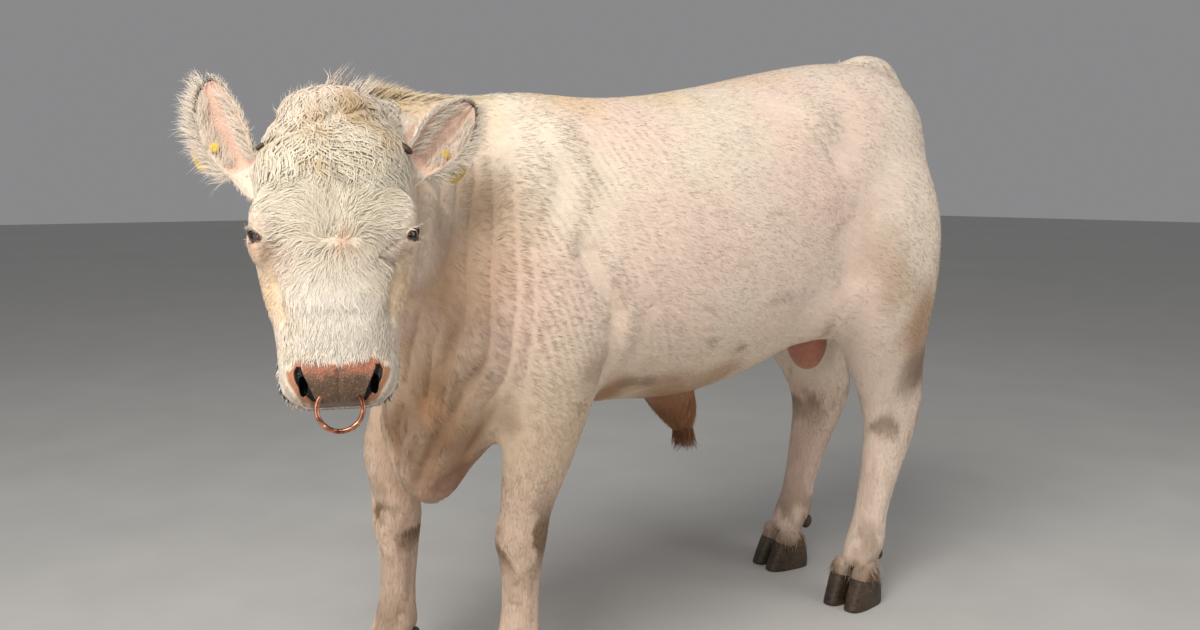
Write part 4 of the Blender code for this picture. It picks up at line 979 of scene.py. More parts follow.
def torusMesh(name, centre, u, v, radius, tubeRadius, count=120, sides=16, wave=None):
    verts, faces = [], []
    normal = u.cross(v)
    for i in range(count):
        a = 2 * math.pi * i / count
        spoke = u * math.cos(a) + v * math.sin(a)
        size = tubeRadius * (1 + (wave(a) if wave else 0))
        for j in range(sides):
            b = 2 * math.pi * j / sides
            verts.append(centre + spoke * (radius + size * math.cos(b)) + normal * size * math.sin(b))
            k, m = (i + 1) % count, (j + 1) % sides
            faces.append((i * sides + j, k * sides + j, k * sides + m, i * sides + m))
    return outward(meshObject(name, verts, faces))


ringDown = faceDown * math.cos(ringSizes["lean"]) - faceOut * math.sin(ringSizes["lean"])
ringMiddle = headPoint(ringSizes["top"][0], 0, ringSizes["top"][1]) + ringDown * ringSizes["radius"]

skinTree = treeOf(skin)
closedTree = skinTree
cutters = [mouthCut(skinTree), nostrilCut(skinTree, 1), nostrilCut(skinTree, -1)]
cutters += [eyeOpening(side) for side in sideSign]
cutters += [ball("socket", eyeMiddle[side], (eyeSizes["radius"] + 0.0004,) * 3, None, 40, 26)
            for side in sideSign]
for cutter in cutters:
    boolean(skin, cutter, "DIFFERENCE")
keepLargest(skin)


def thinned(obj, target, keep):
    # fewer triangles where keep is 0
    group = obj.vertex_groups.new(name="thin")
    weights = 1 - keep(readPoints(obj.data))
    for level in range(1, 5):
        chosen = np.nonzero(np.rint(weights * 4) == level)[0]
        group.add([int(i) for i in chosen], level / 4, "REPLACE")
    mod = obj.modifiers.new("Decimate", "DECIMATE")
    mod.ratio = target / sum(len(p.vertices) - 2 for p in obj.data.polygons)
    mod.vertex_group = "thin"
    mod.use_collapse_triangulate = True
    baked(obj)
    obj.vertex_groups.clear()
    return obj


def keepFine(points):
    left = smoothStep(0.30, 0.45, points[:, 0]) * 0.5
    return np.maximum(headShare(points), left)


def settle(obj):
    # moves a piece to the model's place, shades it smooth and names its mesh
    obj.data.transform(Matrix.Translation(modelShift))
    obj.data.polygons.foreach_set("use_smooth", [True] * len(obj.data.polygons))
    obj.data.name = obj.name


skinTriangles = 400000
thinned(skin, skinTriangles, keepFine)
skin.name = "skin"
settle(skin)
fleshNodes = ["head", "neck", "torso", "tail", "sheath", "scrotum", "ear_left", "ear_right",
              "foreleg_left", "foreleg_right", "hindleg_left", "hindleg_right"]
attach(skin, "root")
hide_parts(*fleshNodes)
print("skin:", sum(len(p.vertices) - 2 for p in skin.data.polygons), "triangles")


# colours as the eye sees them, 0 to 255, turned to linear light for the shaders

def linear(rgb):
    c = np.array(rgb, float) / 255
    return np.where(c <= 0.04045, c / 12.92, ((c + 0.055) / 1.055) ** 2.4)


coatColours = {
    "cream": (238, 221, 201), "shade": (204, 170, 132), "pinkish": (238, 204, 188),
    "crest": (234, 200, 148), "forehead": (236, 222, 196), "stain": (202, 152, 84),
    "dirt": (112, 80, 46), "thigh": (158, 112, 60), "mud": (104, 76, 42), "belly": (160, 112, 64),
    # shadedFold is painted shade for the grooves of folds and creases; cheek is painted warm shade on the
    # cheeks
    "sheath": (142, 84, 38), "rust": (104, 46, 24), "shadedFold": (138, 94, 60), "white": (246, 238, 222),
    "cheek": (234, 196, 148), "blush": (230, 168, 128),
}
skinColours = {
    "muzzle": (186, 120, 92), "muzzleDirt": (98, 80, 62), "lid": (96, 58, 44),
    "ear": (244, 196, 172), "wing": (186, 116, 72), "scrotum": (204, 130, 104),
    # inside is painted shadow for the inside of the nostrils
    "inside": (14, 8, 6), "grain": (168, 150, 122),
}
# soft patches on the coat, the shadedFold, shade and cheek ones painted shade: x, y, z, radius, strength,
# colour; the head's in head coordinates
bodyPatches = [
    (0.55, 0.03, 1.21, 0.16, 0.60, "crest"), (0.68, 0.06, 1.20, 0.10, 0.75, "crest"),
    (0.27, 0.05, 1.23, 0.13, 0.55, "crest"), (0.06, 0.05, 1.24, 0.14, 0.45, "crest"),
    (-0.20, 0.00, 1.28, 0.16, 0.30, "crest"), (-0.50, 0.00, 1.34, 0.14, 0.25, "crest"),
    (-0.44, 0.27, 0.89, 0.09, 0.25, "thigh"), (-0.62, 0.24, 0.72, 0.11, 0.70, "thigh"),
    (-0.50, 0.27, 0.80, 0.08, 0.35, "thigh"), (-0.70, 0.20, 0.86, 0.10, 0.60, "thigh"),
    (-0.60, -0.26, 0.74, 0.15, 0.75, "thigh"), (-0.70, -0.18, 0.90, 0.11, 0.55, "thigh"),
    (-0.76, 0.00, 0.90, 0.10, 0.45, "thigh"), (-0.66, 0.18, 0.60, 0.10, 0.80, "mud"),
    (-0.70, -0.18, 0.60, 0.10, 0.70, "mud"),
    (0.245, 0.14, 0.61, 0.07, 0.75, "belly"), (0.05, 0.09, 0.58, 0.10, 0.75, "belly"),
    (0.20, -0.12, 0.60, 0.09, 0.65, "belly"), (-0.22, 0.05, 0.62, 0.11, 0.60, "belly"),
    (0.061, 0.265, 0.725, 0.016, 0.75, "dirt"), (-0.032, 0.250, 0.700, 0.020, 0.65, "dirt"),
    (0.13, -0.26, 0.74, 0.030, 0.50, "dirt"),
    # the shadedFold patches here and below paint shade in the folds of the neck, dewlap and brisket and
    # behind the elbow; the shade patches paint shade on the neck below the head
    (0.596, 0.108, 0.651, 0.07, 0.65, "shadedFold"), (0.543, 0.118, 0.572, 0.06, 0.65, "shadedFold"),
    (0.56, 0.17, 0.98, 0.09, 0.30, "shadedFold"), (0.55, 0.17, 0.84, 0.10, 0.35, "shadedFold"),
    (0.56, 0.14, 0.92, 0.20, 0.55, "shade"), (0.58, 0.08, 0.68, 0.14, 0.45, "shade"),
    (0.60, -0.05, 0.60, 0.07, 0.40, "shadedFold"), (0.335, 0.235, 0.70, 0.05, 0.35, "shadedFold"),
    (0.45, 0.16, 0.62, 0.05, 0.40, "mud"), (0.53, 0.06, 0.45, 0.12, 0.80, "belly"),
    (0.61, 0.03, 0.58, 0.08, 0.45, "shadedFold"), (0.52, -0.08, 0.50, 0.10, 0.55, "belly"),
    (0.15, 0.28, 0.90, 0.20, 0.45, "pinkish"), (-0.15, 0.28, 0.86, 0.20, 0.40, "pinkish"),
    (-0.34, 0.26, 1.02, 0.14, 0.40, "pinkish"), (0.10, -0.28, 0.90, 0.22, 0.45, "pinkish"),
    (0.43, 0.21, 0.86, 0.12, 0.35, "pinkish"),
    (-0.075, 0.0, 0.530, 0.130, 0.95, "sheath"), (-0.095, 0.0, 0.452, 0.060, 0.95, "rust"),
    (0.03, 0.04, 0.60, 0.10, 0.75, "sheath"), (0.52, 0.056, 0.475, 0.06, 0.80, "shadedFold"),
    (0.604, 0.010, 0.462, 0.030, 0.60, "dirt"), (0.595, 0.105, 0.629, 0.032, 0.50, "blush"),
    (0.21, 0.185, 0.645, 0.030, 0.60, "mud"), (0.165, 0.185, 0.641, 0.030, 0.60, "mud"),
    (0.24, 0.165, 0.625, 0.070, 0.60, "belly"), (0.10, 0.175, 0.62, 0.080, 0.60, "belly"),
    (-0.03, 0.19, 0.63, 0.080, 0.55, "belly"),
    (-0.858, -0.036, 0.34, 0.14, 0.35, "stain"), (-0.86, -0.03, 0.22, 0.08, 0.60, "thigh"),
]
headPatches = [
    (0.12, 0.00, 0.00, 0.15, 0.70, "forehead"), (0.052, -0.026, 0.01, 0.030, 0.60, "stain"),
    (0.030, 0.030, -0.01, 0.030, 0.50, "stain"), (0.109, -0.018, 0.00, 0.016, 0.55, "stain"),
    (0.116, 0.001, 0.01, 0.009, 0.98, "dirt"), (0.060, 0.070, -0.02, 0.030, 0.35, "stain"),
    # the shadedFold patches paint shade in the crease below the inner corner of each eye
    (0.240, 0.010, 0.00, 0.013, 0.45, "blush"), (0.246, 0.094, -0.03, 0.020, 0.60, "shadedFold"),
    (0.256, 0.074, -0.015, 0.013, 0.75, "shadedFold"), (0.264, 0.060, -0.010, 0.010, 0.60, "shadedFold"),
    (0.240, 0.110, -0.040, 0.020, 0.45, "blush"), (0.200, 0.104, -0.036, 0.010, 0.40, "blush"),
    # the cheek patch paints a warm shade on both cheeks, for the hollows below the eyes
    (0.40, 0.075, -0.05, 0.030, 0.35, "pinkish"), (0.300, 0.090, -0.060, 0.060, 0.60, "cheek"),
    (0.330, 0.0, 0.0, 0.075, 0.45, "white"), (0.395, 0.0, 0.0, 0.060, 0.50, "white"),
    (0.450, 0.080, -0.050, 0.024, 0.75, "white"), (0.420, 0.080, -0.050, 0.026, 0.65, "white"),
    (0.36, 0.00, -0.15, 0.08, 0.35, "stain"),
]


def mix(colour, other, share):
    return colour + (other - colour) * share[:, None]


def patchShare(points, x, y, z, radius, seed):
    far = np.linalg.norm(points - np.array((x, y, z)), axis=1)
    near = np.nonzero(far < radius * 1.8)[0]
    share = np.zeros(len(points))
    wobble = 0.65 + 0.7 * layeredNoise(points[near], radius * 0.5, seed)
    share[near] = 1 - smoothStep(0.35, 1.15, far[near] / radius * wobble)
    return share


def paintCoat(points):
    # the coat's colour at each point, in working coordinates, with painted shade in the folds, creases
    # and wrinkles and towards the lower body
    c = {name: linear(v) for name, v in coatColours.items()}
    x, y, z = points.T
    down, left, out = headCoords(points)
    head = headShare(points)
    colour = np.tile(c["cream"], (len(points), 1))
    colour = mix(colour, c["pinkish"], 0.55 * smoothStep(0.40, 0.75, layeredNoise(points, 0.20, 41)))
    colour = mix(colour, c["shade"], 0.55 * (1 - smoothStep(0.55, 0.85, z)) * (1 - head)
                 * smoothStep(-0.50, -0.20, x))
    # painted shade in the grooves of the neck folds, stronger the deeper the groove
    waves = np.clip(-neckWaves(points) / neckFolds["depth"], 0, 1)
    colour = mix(colour, c["shadedFold"], 0.42 * waves ** 1.4)
    # painted shade in the narrow folds of the body, stronger the deeper the fold
    narrow = [shadedFold for shadedFold in bodyFolds if shadedFold[0] < narrowFold]
    creaseShade = np.clip(-foldSum(points, narrow) / 0.0060, 0, 1)
    colour = mix(colour, c["shadedFold"], 0.55 * creaseShade)
    colour = mix(colour, c["shade"], 0.60 * np.clip(-fineWaves(points) / wrinkles["depth"], 0, 1) ** 2)
    for i, (px, py, pz, radius, strength, name) in enumerate(bodyPatches):
        colour = mix(colour, c[name], strength * patchShare(points, px, py, pz, radius, i) * (1 - head))
    for i, (d, l, o, radius, strength, name) in enumerate(headPatches):
        for s in ((1, -1) if l > 0.075 or name == "shadedFold" else (1,)):
            share = patchShare(points, *headPoint(d, s * l, o), radius, 60 + i)
            colour = mix(colour, c[name], strength * share)
    leg = (1 - smoothStep(0.44, 0.56, z)) * (np.abs(x + 0.09) > 0.16) * (x > -0.83)
    splash = smoothStep(0.44, 0.60, layeredNoise(points, 0.055, 71))
    knee = (bump(z, 0.37, 0.055) * (x > 0) + 0.6 * bump(z, 0.47, 0.06) * (x < 0)
            + 0.4 * bump(z, 0.16, 0.05))
    colour = mix(colour, c["pinkish"], 0.35 * leg)
    colour = mix(colour, c["mud"], leg * np.clip(0.06 + 0.85 * splash * (0.16 + knee), 0, 0.85))
    foot = 1 - smoothStep(0.085, 0.125, z + 0.05 * (layeredNoise(points, 0.03, 73) - 0.5))
    colour = mix(colour, c["mud"], foot * (0.72 + 0.24 * splash))
    fleck = smoothStep(0.80, 0.86, valueNoise(points, 0.020, 81)) * smoothStep(0.5, 0.7,
                                                                            valueNoise(points, 0.11, 82))
    colour = mix(colour, c["dirt"], 0.35 * fleck * (1 - head) * (1 - smoothStep(0.8, 1.15, z)))
    tone = 0.96 + 0.08 * layeredNoise(points, 0.045, 90)
    return colour * tone[:, None]


def bareSkin(points, normals):
    # share of bare skin at each point and its colour, with painted shadow inside the nostrils
    c = {name: linear(v) for name, v in skinColours.items()}
    down, left, out = headCoords(points)
    share = muzzleShare(points)
    colour = np.tile(c["muzzle"], (len(points), 1))
    dirt = smoothStep(0.440, 0.458, down + 0.024 * layeredNoise(points, 0.010, 3))
    colour = mix(colour, c["muzzleDirt"], 0.90 * dirt)
    grains = smoothStep(0.70, 0.80, valueNoise(points, 0.0022, 4)) * dirt
    colour = mix(colour, c["grain"], 0.5 * grains)
    for side, s in sideSign.items():
        middle = ramp(down, [(d, l) for d, l, _ in nostrilRows])
        beside = s * left - middle
        wing = smoothStep(0.001, 0.006, beside) * (1 - smoothStep(0.014, 0.020, beside))
        wing *= smoothStep(0.420, 0.430, down)
        wing *= smoothStep(-0.060, -0.050, out) * (1 - smoothStep(0.472, 0.480, down))
        colour = mix(colour, c["wing"], 0.9 * wing)
        share = np.maximum(share, 0.9 * wing)
        # painted shadow inside each nostril, darker the deeper a point lies below the uncut surface
        near = np.nonzero((np.abs(beside) < 0.024) & (down > 0.41) & (down < 0.485) & (out > -0.08))[0]
        deep = np.array([closedTree.find_nearest(Vector(points[i]))[3] for i in near])
        if len(near):
            holeShade = np.zeros(len(points))
            holeShade[near] = smoothStep(0.0004, 0.0030, deep)
            colour = mix(colour, c["inside"], holeShade)
            share = np.maximum(share, holeShade)
        look, across = [np.array(v) for v in lookAxes(side)]
        rise = np.cross(look, across)
        rel = points - np.array(eyeSpot[side])
        r = np.sqrt((rel @ across / (eyeSizes["slit"][0] * 1.20)) ** 2
                    + (rel @ rise / (eyeSizes["slit"][1] * 1.70)) ** 2
                    + (rel @ look / 0.020) ** 2)
        lid = 1 - smoothStep(0.85, 1.15, r)
        colour = mix(colour, c["lid"], lid)
        share = np.maximum(share, lid)
        origin, along, axis, cup = earArrays(side)
        rel = points - origin
        t = rel @ along / earSettings["length"]
        width = ramp(t, [(r[0], r[1]) for r in earRows])
        inner = ((t > 0.10) * (t < 1.02) * (np.abs(rel @ axis) < width * 0.93)
                 * smoothStep(0.05, 0.35, normals @ cup) * (np.linalg.norm(rel, axis=1) < 0.2))
        colour = mix(colour, c["ear"], inner)
        share = np.maximum(share, inner * 0.75)
    middle = np.array(scrotumSizes["centre"])
    bag = 1 - smoothStep(0.070, 0.090, np.linalg.norm((points - middle) * (1, 1, 0.8), axis=1))
    bag *= 1 - smoothStep(0.655, 0.680, points[:, 2])
    colour = mix(colour, c["scrotum"], bag)
    share = np.maximum(share, bag * 0.9)
    return np.clip(share, 0, 1), colour


whorl = {"down": 0.240, "left": 0.010}
streakStretch = 0.13        # squeezes the way along the lie, so that the noise runs out in streaks


def flowCoords(points):
    # coordinates for streaks along the lie of the coat
    x, y, z = points.T
    legs = (1 - smoothStep(0.48, 0.68, z))[:, None]
    body = np.stack([(x * 0.90 + z * 0.42) * streakStretch, y, z * 0.90 - x * 0.42], 1)
    leg = np.stack([x, y, (z - 0.58) * streakStretch], 1)
    down, left, out = headCoords(points)
    far = np.hypot(down - whorl["down"], left - whorl["left"])
    turn = np.arctan2(left - whorl["left"], down - whorl["down"])
    face = np.stack([far * streakStretch, turn * 0.09, out], 1)
    head = headShare(points)[:, None]
    return (body * (1 - legs) + leg * legs) * (1 - head) + face * head


def addColour(mesh, name, rgb, domain="POINT"):
    attribute = mesh.color_attributes.new(name, "FLOAT_COLOR", domain)
    data = np.ones((len(rgb), 4), np.float32)
    data[:, :3] = rgb
    attribute.data.foreach_set("color", data.ravel())


def addNumbers(mesh, name, kind, key, values):
    attribute = mesh.attributes.new(name, kind, "POINT")
    attribute.data.foreach_set(key, values.astype(np.float32).ravel())


def paintSkin(obj):
    mesh = obj.data
    points = readPoints(mesh) - np.array(modelShift)
    normals = readNormals(mesh)
    bare, bareColour = bareSkin(points, normals)
    colour = paintCoat(points)
    colour = colour + (bareColour - colour) * bare[:, None]
    addColour(mesh, "tone", colour)
    addNumbers(mesh, "bare", "FLOAT", "value", bare)
    addNumbers(mesh, "flow", "FLOAT_VECTOR", "vector", flowCoords(points))


paintSkin(skin)
print("skin painted")


# materials

def newMaterial(name, rough, metal=0.0, **sockets):
    mat = bpy.data.materials.new(name)
    mat.use_nodes = True
    shader = mat.node_tree.nodes["Principled BSDF"]
    shader.inputs["Roughness"].default_value = rough
    shader.inputs["Metallic"].default_value = metal
    for key, value in sockets.items():
        shader.inputs[key.replace("_", " ")].default_value = value
    return mat, mat.node_tree, shader


def addNode(tree, kind, links=None, **values):
    node = tree.nodes.new(kind)
    for key, value in values.items():
        if hasattr(node, key):
            setattr(node, key, value)
        else:
            node.inputs[key].default_value = value
    for key, source in (links or {}).items():
        tree.links.new(source, node.inputs[key])
    return node


def noiseNode(tree, vector, scale, detail=3.0, rough=0.5):
    node = addNode(tree, "ShaderNodeTexNoise", {"Vector": vector})
    node.inputs["Scale"].default_value = scale
    node.inputs["Detail"].default_value = detail
    node.inputs["Roughness"].default_value = rough
    return node.outputs["Fac"]


def rangeNode(tree, value, low, high, outLow, outHigh):
    node = tree.nodes.new("ShaderNodeMapRange")
    tree.links.new(value, node.inputs["Value"])
    for key, number in (("From Min", low), ("From Max", high), ("To Min", outLow), ("To Max", outHigh)):
        node.inputs[key].default_value = number
    return node.outputs["Result"]


def mixColour(tree, share, a, b, mode="MIX"):
    node = tree.nodes.new("ShaderNodeMix")
    node.data_type = "RGBA"
    node.blend_type = mode
    for index, value in ((0, share), (6, a), (7, b)):
        if isinstance(value, bpy.types.NodeSocket):
            tree.links.new(value, node.inputs[index])
        elif index == 0:
            node.inputs[0].default_value = value
        else:
            node.inputs[index].default_value = (*value, 1.0)
    return node.outputs[2]


def mixValue(tree, share, a, b):
    node = tree.nodes.new("ShaderNodeMix")
    for index, socket in ((0, share), (2, a), (3, b)):
        tree.links.new(socket, node.inputs[index])
    return node.outputs[0]


def greyed(tree, colour, value):
    # the colour times a grey value
    grey = addNode(tree, "ShaderNodeCombineColor", {"Red": value, "Green": value, "Blue": value})
    return mixColour(tree, 1.0, colour, grey.outputs[0], "MULTIPLY")


def painted(tree, name, output="Fac"):
    return addNode(tree, "ShaderNodeAttribute", attribute_name=name).outputs[output]


def ownPlace(tree):
    return addNode(tree, "ShaderNodeTexCoord").outputs["Object"]


def mathNode(tree, operation, a, b):
    node = tree.nodes.new("ShaderNodeMath")
    node.operation = operation
    for index, value in ((0, a), (1, b)):
        if isinstance(value, bpy.types.NodeSocket):
            tree.links.new(value, node.inputs[index])
        else:
            node.inputs[index].default_value = value
    return node.outputs[0]


def bumpNode(tree, height, strength, distance, after=None):
    node = tree.nodes.new("ShaderNodeBump")
    node.inputs["Strength"].default_value = strength
    node.inputs["Distance"].default_value = distance
    tree.links.new(height, node.inputs["Height"])
    if after:
        tree.links.new(after, node.inputs["Normal"])
    return node.outputs["Normal"]


skinFinish = {"coatRough": 0.72, "bareRough": 0.42, "streakScale": 420.0, "pebbleScale": 330.0}


def skinMaterial():
    mat, tree, shader = newMaterial("coatAndSkin", skinFinish["coatRough"],
                                    Subsurface_Weight=0.06, Subsurface_Scale=0.006,
                                    Sheen_Weight=0.12, Sheen_Roughness=0.5,
                                    Specular_IOR_Level=0.35)
    shader.inputs["Subsurface Radius"].default_value = (1.0, 0.45, 0.3)
    tone = painted(tree, "tone", "Color")
    bare = painted(tree, "bare")
    flow = painted(tree, "flow", "Vector")
    place = ownPlace(tree)
    streaks = noiseNode(tree, flow, skinFinish["streakScale"], 3.0, 0.65)
    broad = noiseNode(tree, flow, skinFinish["streakScale"] * 0.22, 2.0)
    furTone = rangeNode(tree, streaks, 0.3, 0.7, 0.90, 1.06)
    furTone = mathNode(tree, "MULTIPLY", furTone, rangeNode(tree, broad, 0.3, 0.7, 0.93, 1.05))
    cells = addNode(tree, "ShaderNodeTexVoronoi", {"Vector": place})
    cells.inputs["Scale"].default_value = skinFinish["pebbleScale"]
    pebble = rangeNode(tree, cells.outputs["Distance"], 0.0, 0.6, 1.0, 0.0)
    mottle = noiseNode(tree, place, 60.0, 4.0)
    bareTone = mathNode(tree, "MULTIPLY", rangeNode(tree, mottle, 0.3, 0.7, 0.82, 1.14),
                        rangeNode(tree, pebble, 0.0, 1.0, 0.78, 1.06))
    colour = greyed(tree, tone, mixValue(tree, bare, furTone, bareTone))
    tree.links.new(colour, shader.inputs["Base Color"])
    rough = rangeNode(tree, bare, 0.0, 1.0, skinFinish["coatRough"], skinFinish["bareRough"])
    rough = mathNode(tree, "ADD", rough, rangeNode(tree, mottle, 0.3, 0.7, -0.06, 0.06))
    tree.links.new(rough, shader.inputs["Roughness"])
    normal = bumpNode(tree, mixValue(tree, bare, streaks, pebble), 0.75, 0.0012)
    normal = bumpNode(tree, noiseNode(tree, place, 34.0, 4.0, 0.6), 0.20, 0.0030, normal)
    tree.links.new(normal, shader.inputs["Normal"])
    return mat


skin.data.materials.clear()
skin.data.materials.append(skinMaterial())


def finishPiece(obj, mat, nodes=()):
    settle(obj)
    obj.data.materials.clear()
    obj.data.materials.append(mat)
    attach(obj, "root")
    if nodes:
        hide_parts(*nodes)
    return obj


def noisyMaterial(name, dark, light, scale, rough, metal=0.0, bumpSize=0.0005, stretch=(1, 1, 1),
                  **sockets):
    # two tones mixed by noise, with roughness and bump from the same noise
    mat, tree, shader = newMaterial(name, rough, metal, **sockets)
    place = ownPlace(tree)
    mapping = addNode(tree, "ShaderNodeMapping", {"Vector": place})
    mapping.inputs["Scale"].default_value = stretch
    fine = noiseNode(tree, mapping.outputs[0], scale, 5.0, 0.6)
    large = noiseNode(tree, place, scale * 0.17, 3.0)
    share = rangeNode(tree, mathNode(tree, "MULTIPLY", fine, rangeNode(tree, large, 0.2, 0.8, 0.6, 1.4)),
                      0.30, 0.70, 0.0, 1.0)
    tree.links.new(mixColour(tree, share, linear(dark), linear(light)), shader.inputs["Base Color"])
    tree.links.new(rangeNode(tree, fine, 0.3, 0.7, rough - 0.08, rough + 0.12),
                   shader.inputs["Roughness"])
    tree.links.new(bumpNode(tree, fine, 0.6, bumpSize), shader.inputs["Normal"])
    return mat


# eyes: a ball with the iris and the lying pupil painted on it, and a clear wet coat

eyeColours = {"pupil": (10, 6, 6), "iris": (40, 23, 14), "rim": (18, 10, 8), "white": (66, 46, 38)}


def eyeBall(side):
    look, across = lookAxes(side)
    obj = ball("eye_ball_" + side, eyeMiddle[side], (eyeSizes["radius"],) * 3,
               frameMatrix(Vector(), across, look), 96, 64)
    mesh = obj.data
    rel = (readPoints(mesh) - np.array(eyeMiddle[side])) / eyeSizes["radius"]
    u, w = rel @ np.array(across), rel @ np.array(look)
    v = rel @ np.array(look.cross(across))
    far = np.hypot(u, v) + (w < 0) * 2
    c = {name: linear(value) for name, value in eyeColours.items()}
    colour = np.tile(c["white"], (len(rel), 1))
    colour = mix(colour, c["rim"], 1 - smoothStep(0.70, 0.78, far))
    fibres = 0.5 + 0.5 * np.sin(np.arctan2(v, u) * 46 + 5 * np.sin(far * 9))
    colour = mix(colour, c["iris"], (1 - smoothStep(0.60, 0.70, far)) * (0.6 + 0.4 * fibres))
    pupil = 1 - smoothStep(0.9, 1.1, np.hypot(u / 0.42, v / 0.20))
    colour = mix(colour, c["pupil"], pupil * (w > 0))
    addColour(mesh, "tone", colour)
    bulge = np.exp(-(far / 0.55) ** 2)[:, None] * 0.0007 * np.array(look)
    writePoints(mesh, readPoints(mesh) + bulge)
    return obj


def eyeMaterial():
    mat, tree, shader = newMaterial("wetEye", 0.12, Coat_Weight=0.6, Coat_Roughness=0.03,
                                    Specular_IOR_Level=0.3)
    tone = painted(tree, "tone", "Color")
    place = ownPlace(tree)
    grain = noiseNode(tree, place, 900.0, 3.0)
    tree.links.new(mixColour(tree, rangeNode(tree, grain, 0.3, 0.7, 0.0, 0.35), tone,
                             linear(eyeColours["rim"])), shader.inputs["Base Color"])
    tree.links.new(rangeNode(tree, grain, 0.3, 0.7, 0.08, 0.18), shader.inputs["Roughness"])
    return mat


wetEye = eyeMaterial()
for side in sideSign:
    finishPiece(eyeBall(side), wetEye, ["eye_" + side])


# hooves: two claws a foot, with growth rings and a worn sole, and the dewclaws behind

# from the coronet down: share of the height, reach forward and back, half width
clawRows = [(0.0, 0.0440, 0.0430, 0.0260), (0.06, 0.0470, 0.0452, 0.0270),
            (0.45, 0.0600, 0.0500, 0.0278), (0.92, 0.0752, 0.0500, 0.0278),
            (0.985, 0.0740, 0.0490, 0.0270), (1.0, 0.0700, 0.0460, 0.0248)]


def hoof(kind, side, s):
    origin, ahead, out = footFrame(kind, side)
    rings = []
    for row, (t, front, back, half) in enumerate(smoothRows(clawRows, 7)):
        t = min(max(t, 0.0), 1.0)
        wave = 1 + 0.009 * math.sin(t * 44 + s) * (1 - t) + 0.006 * math.sin(t * 97)
        middle = origin + out * s * clawSizes["side"]
        ring = ringPoints(middle, out, ahead, half * min(wave, 1.0), front * wave, back * wave, 2.8, 44)
        for p in ring:
            lean = (p - middle).dot(ahead) * clawSizes["slope"] * (1 - t)
            p.z = clawSizes["coronet"] * (1 - t) + lean
        rings.append(ring)
    return loft(f"hoof_{kind}_{side}_{'outer' if s > 0 else 'inner'}", rings)


def dewclaw(kind, side, s):
    origin, ahead, out = footFrame(kind, side)
    turn = Matrix.Rotation(math.radians(24), 4, out)
    name = f"dewclaw_horn_{kind}_{side}_{'outer' if s > 0 else 'inner'}"
    centre = dewclawPlace(kind, side, s)
    obj = ball(name, centre, dewclawSizes["radii"], turn, 32, 24)
    points = readPoints(obj.data)
    axis = np.array(turn.to_3x3() @ Vector((0, 0, 1)))
    share = (points - np.array(centre)) @ axis / dewclawSizes["radii"][2]
    ridges = 1 + 0.025 * np.sin(share * 22) - 0.10 * np.clip(share, 0, 1)
    middle = np.array(centre) + axis * (share * dewclawSizes["radii"][2])[:, None]
    writePoints(obj.data, middle + (points - middle) * ridges[:, None])
    return obj


hoofHorn = noisyMaterial("hoofHorn", (24, 18, 12), (82, 64, 44), 90.0, 0.5, 0.0, 0.0006, (1, 1, 4.0))
for kind in ("fore", "hind"):
    for side in sideSign:
        for s, place in ((1, "outer"), (-1, "inner")):
            finishPiece(hoof(kind, side, s), hoofHorn, [f"claw_{kind}_{side}_{place}"])
            finishPiece(dewclaw(kind, side, s), hoofHorn, [f"dewclaw_{kind}_{side}_{place}"])
print("eyes and hooves made")


# scurs: short loose horn buds under the poll hair

scurSizes = {"down": 0.072, "side": 0.100, "back": -0.050, "length": 0.022, "radius": 0.0076,
             "grown": {"left": 1.0, "right": 0.65}}


def scur(side):
    s = sideSign[side]
    root = headPoint(scurSizes["down"], s * scurSizes["side"], scurSizes["back"])
    away = (headLeft * s * 0.88 + faceOut * 0.25 + faceDown * 0.35).normalized()
    rows = smoothRows([(-0.25, 1.0), (0.30, 1.0), (0.62, 0.86), (0.86, 0.58), (0.97, 0.32),
                       (1.0, 0.10)], 6)
    grown = scurSizes["grown"][side]
    points = [root + (away * scurSizes["length"] * t + faceDown * 0.006 * t * t) * grown for t, _ in rows]
    radii = [scurSizes["radius"] * grown * max(r, 0.06) * (1 + 0.035 * math.sin(t * 30)) for t, r in rows]
    return tube("scur_horn_" + side, points, radii, 28)


scurHorn = noisyMaterial("scurHorn", (34, 24, 18), (84, 64, 48), 160.0, 0.48, 0.0, 0.0005, (1, 1, 3.0))
for side in sideSign:
    finishPiece(scur(side), scurHorn, ["scur_" + side])


# copper nose ring with its joint and screw

def noseRing():
    obj = torusMesh("copper_ring", ringMiddle, headLeft, ringDown, ringSizes["radius"],
                    ringSizes["tube"], 144, 20,
                    lambda a: 0.012 * math.sin(3 * a + 1) + 0.008 * math.sin(11 * a))
    normal = headLeft.cross(ringDown)
    pieces = []
    for angle, radius, length in ((math.radians(52), 1.16, 0.0065), (math.radians(128), 1.10, 0.0040)):
        spoke = headLeft * math.cos(angle) + ringDown * math.sin(angle)
        tangent = ringDown * math.cos(angle) - headLeft * math.sin(angle)
        middle = ringMiddle + spoke * ringSizes["radius"]
        pieces.append(tube("joint", [middle - tangent * length, middle - tangent * length * 0.8,
                                     middle + tangent * length * 0.8, middle + tangent * length],
                           [ringSizes["tube"] * k for k in (1.0, radius, radius, 1.0)], 24, normal))
    return joinAll(obj, pieces)


copper = noisyMaterial("wornCopper", (112, 62, 44), (228, 160, 126), 130.0, 0.30, 1.0, 0.0002)
finishPiece(noseRing(), copper, ["nose_ring"])


# ear tags: a rounded plate with a raised rim and number strokes, a stud and a button

tagSizes = {"width": 0.054, "height": 0.042, "thick": 0.0022, "share": 0.40, "out": 0.022,
            "rise": 0.0020, "behind": 0.0200, "stud": 0.0026, "button": 0.0073, "digits": "27"}
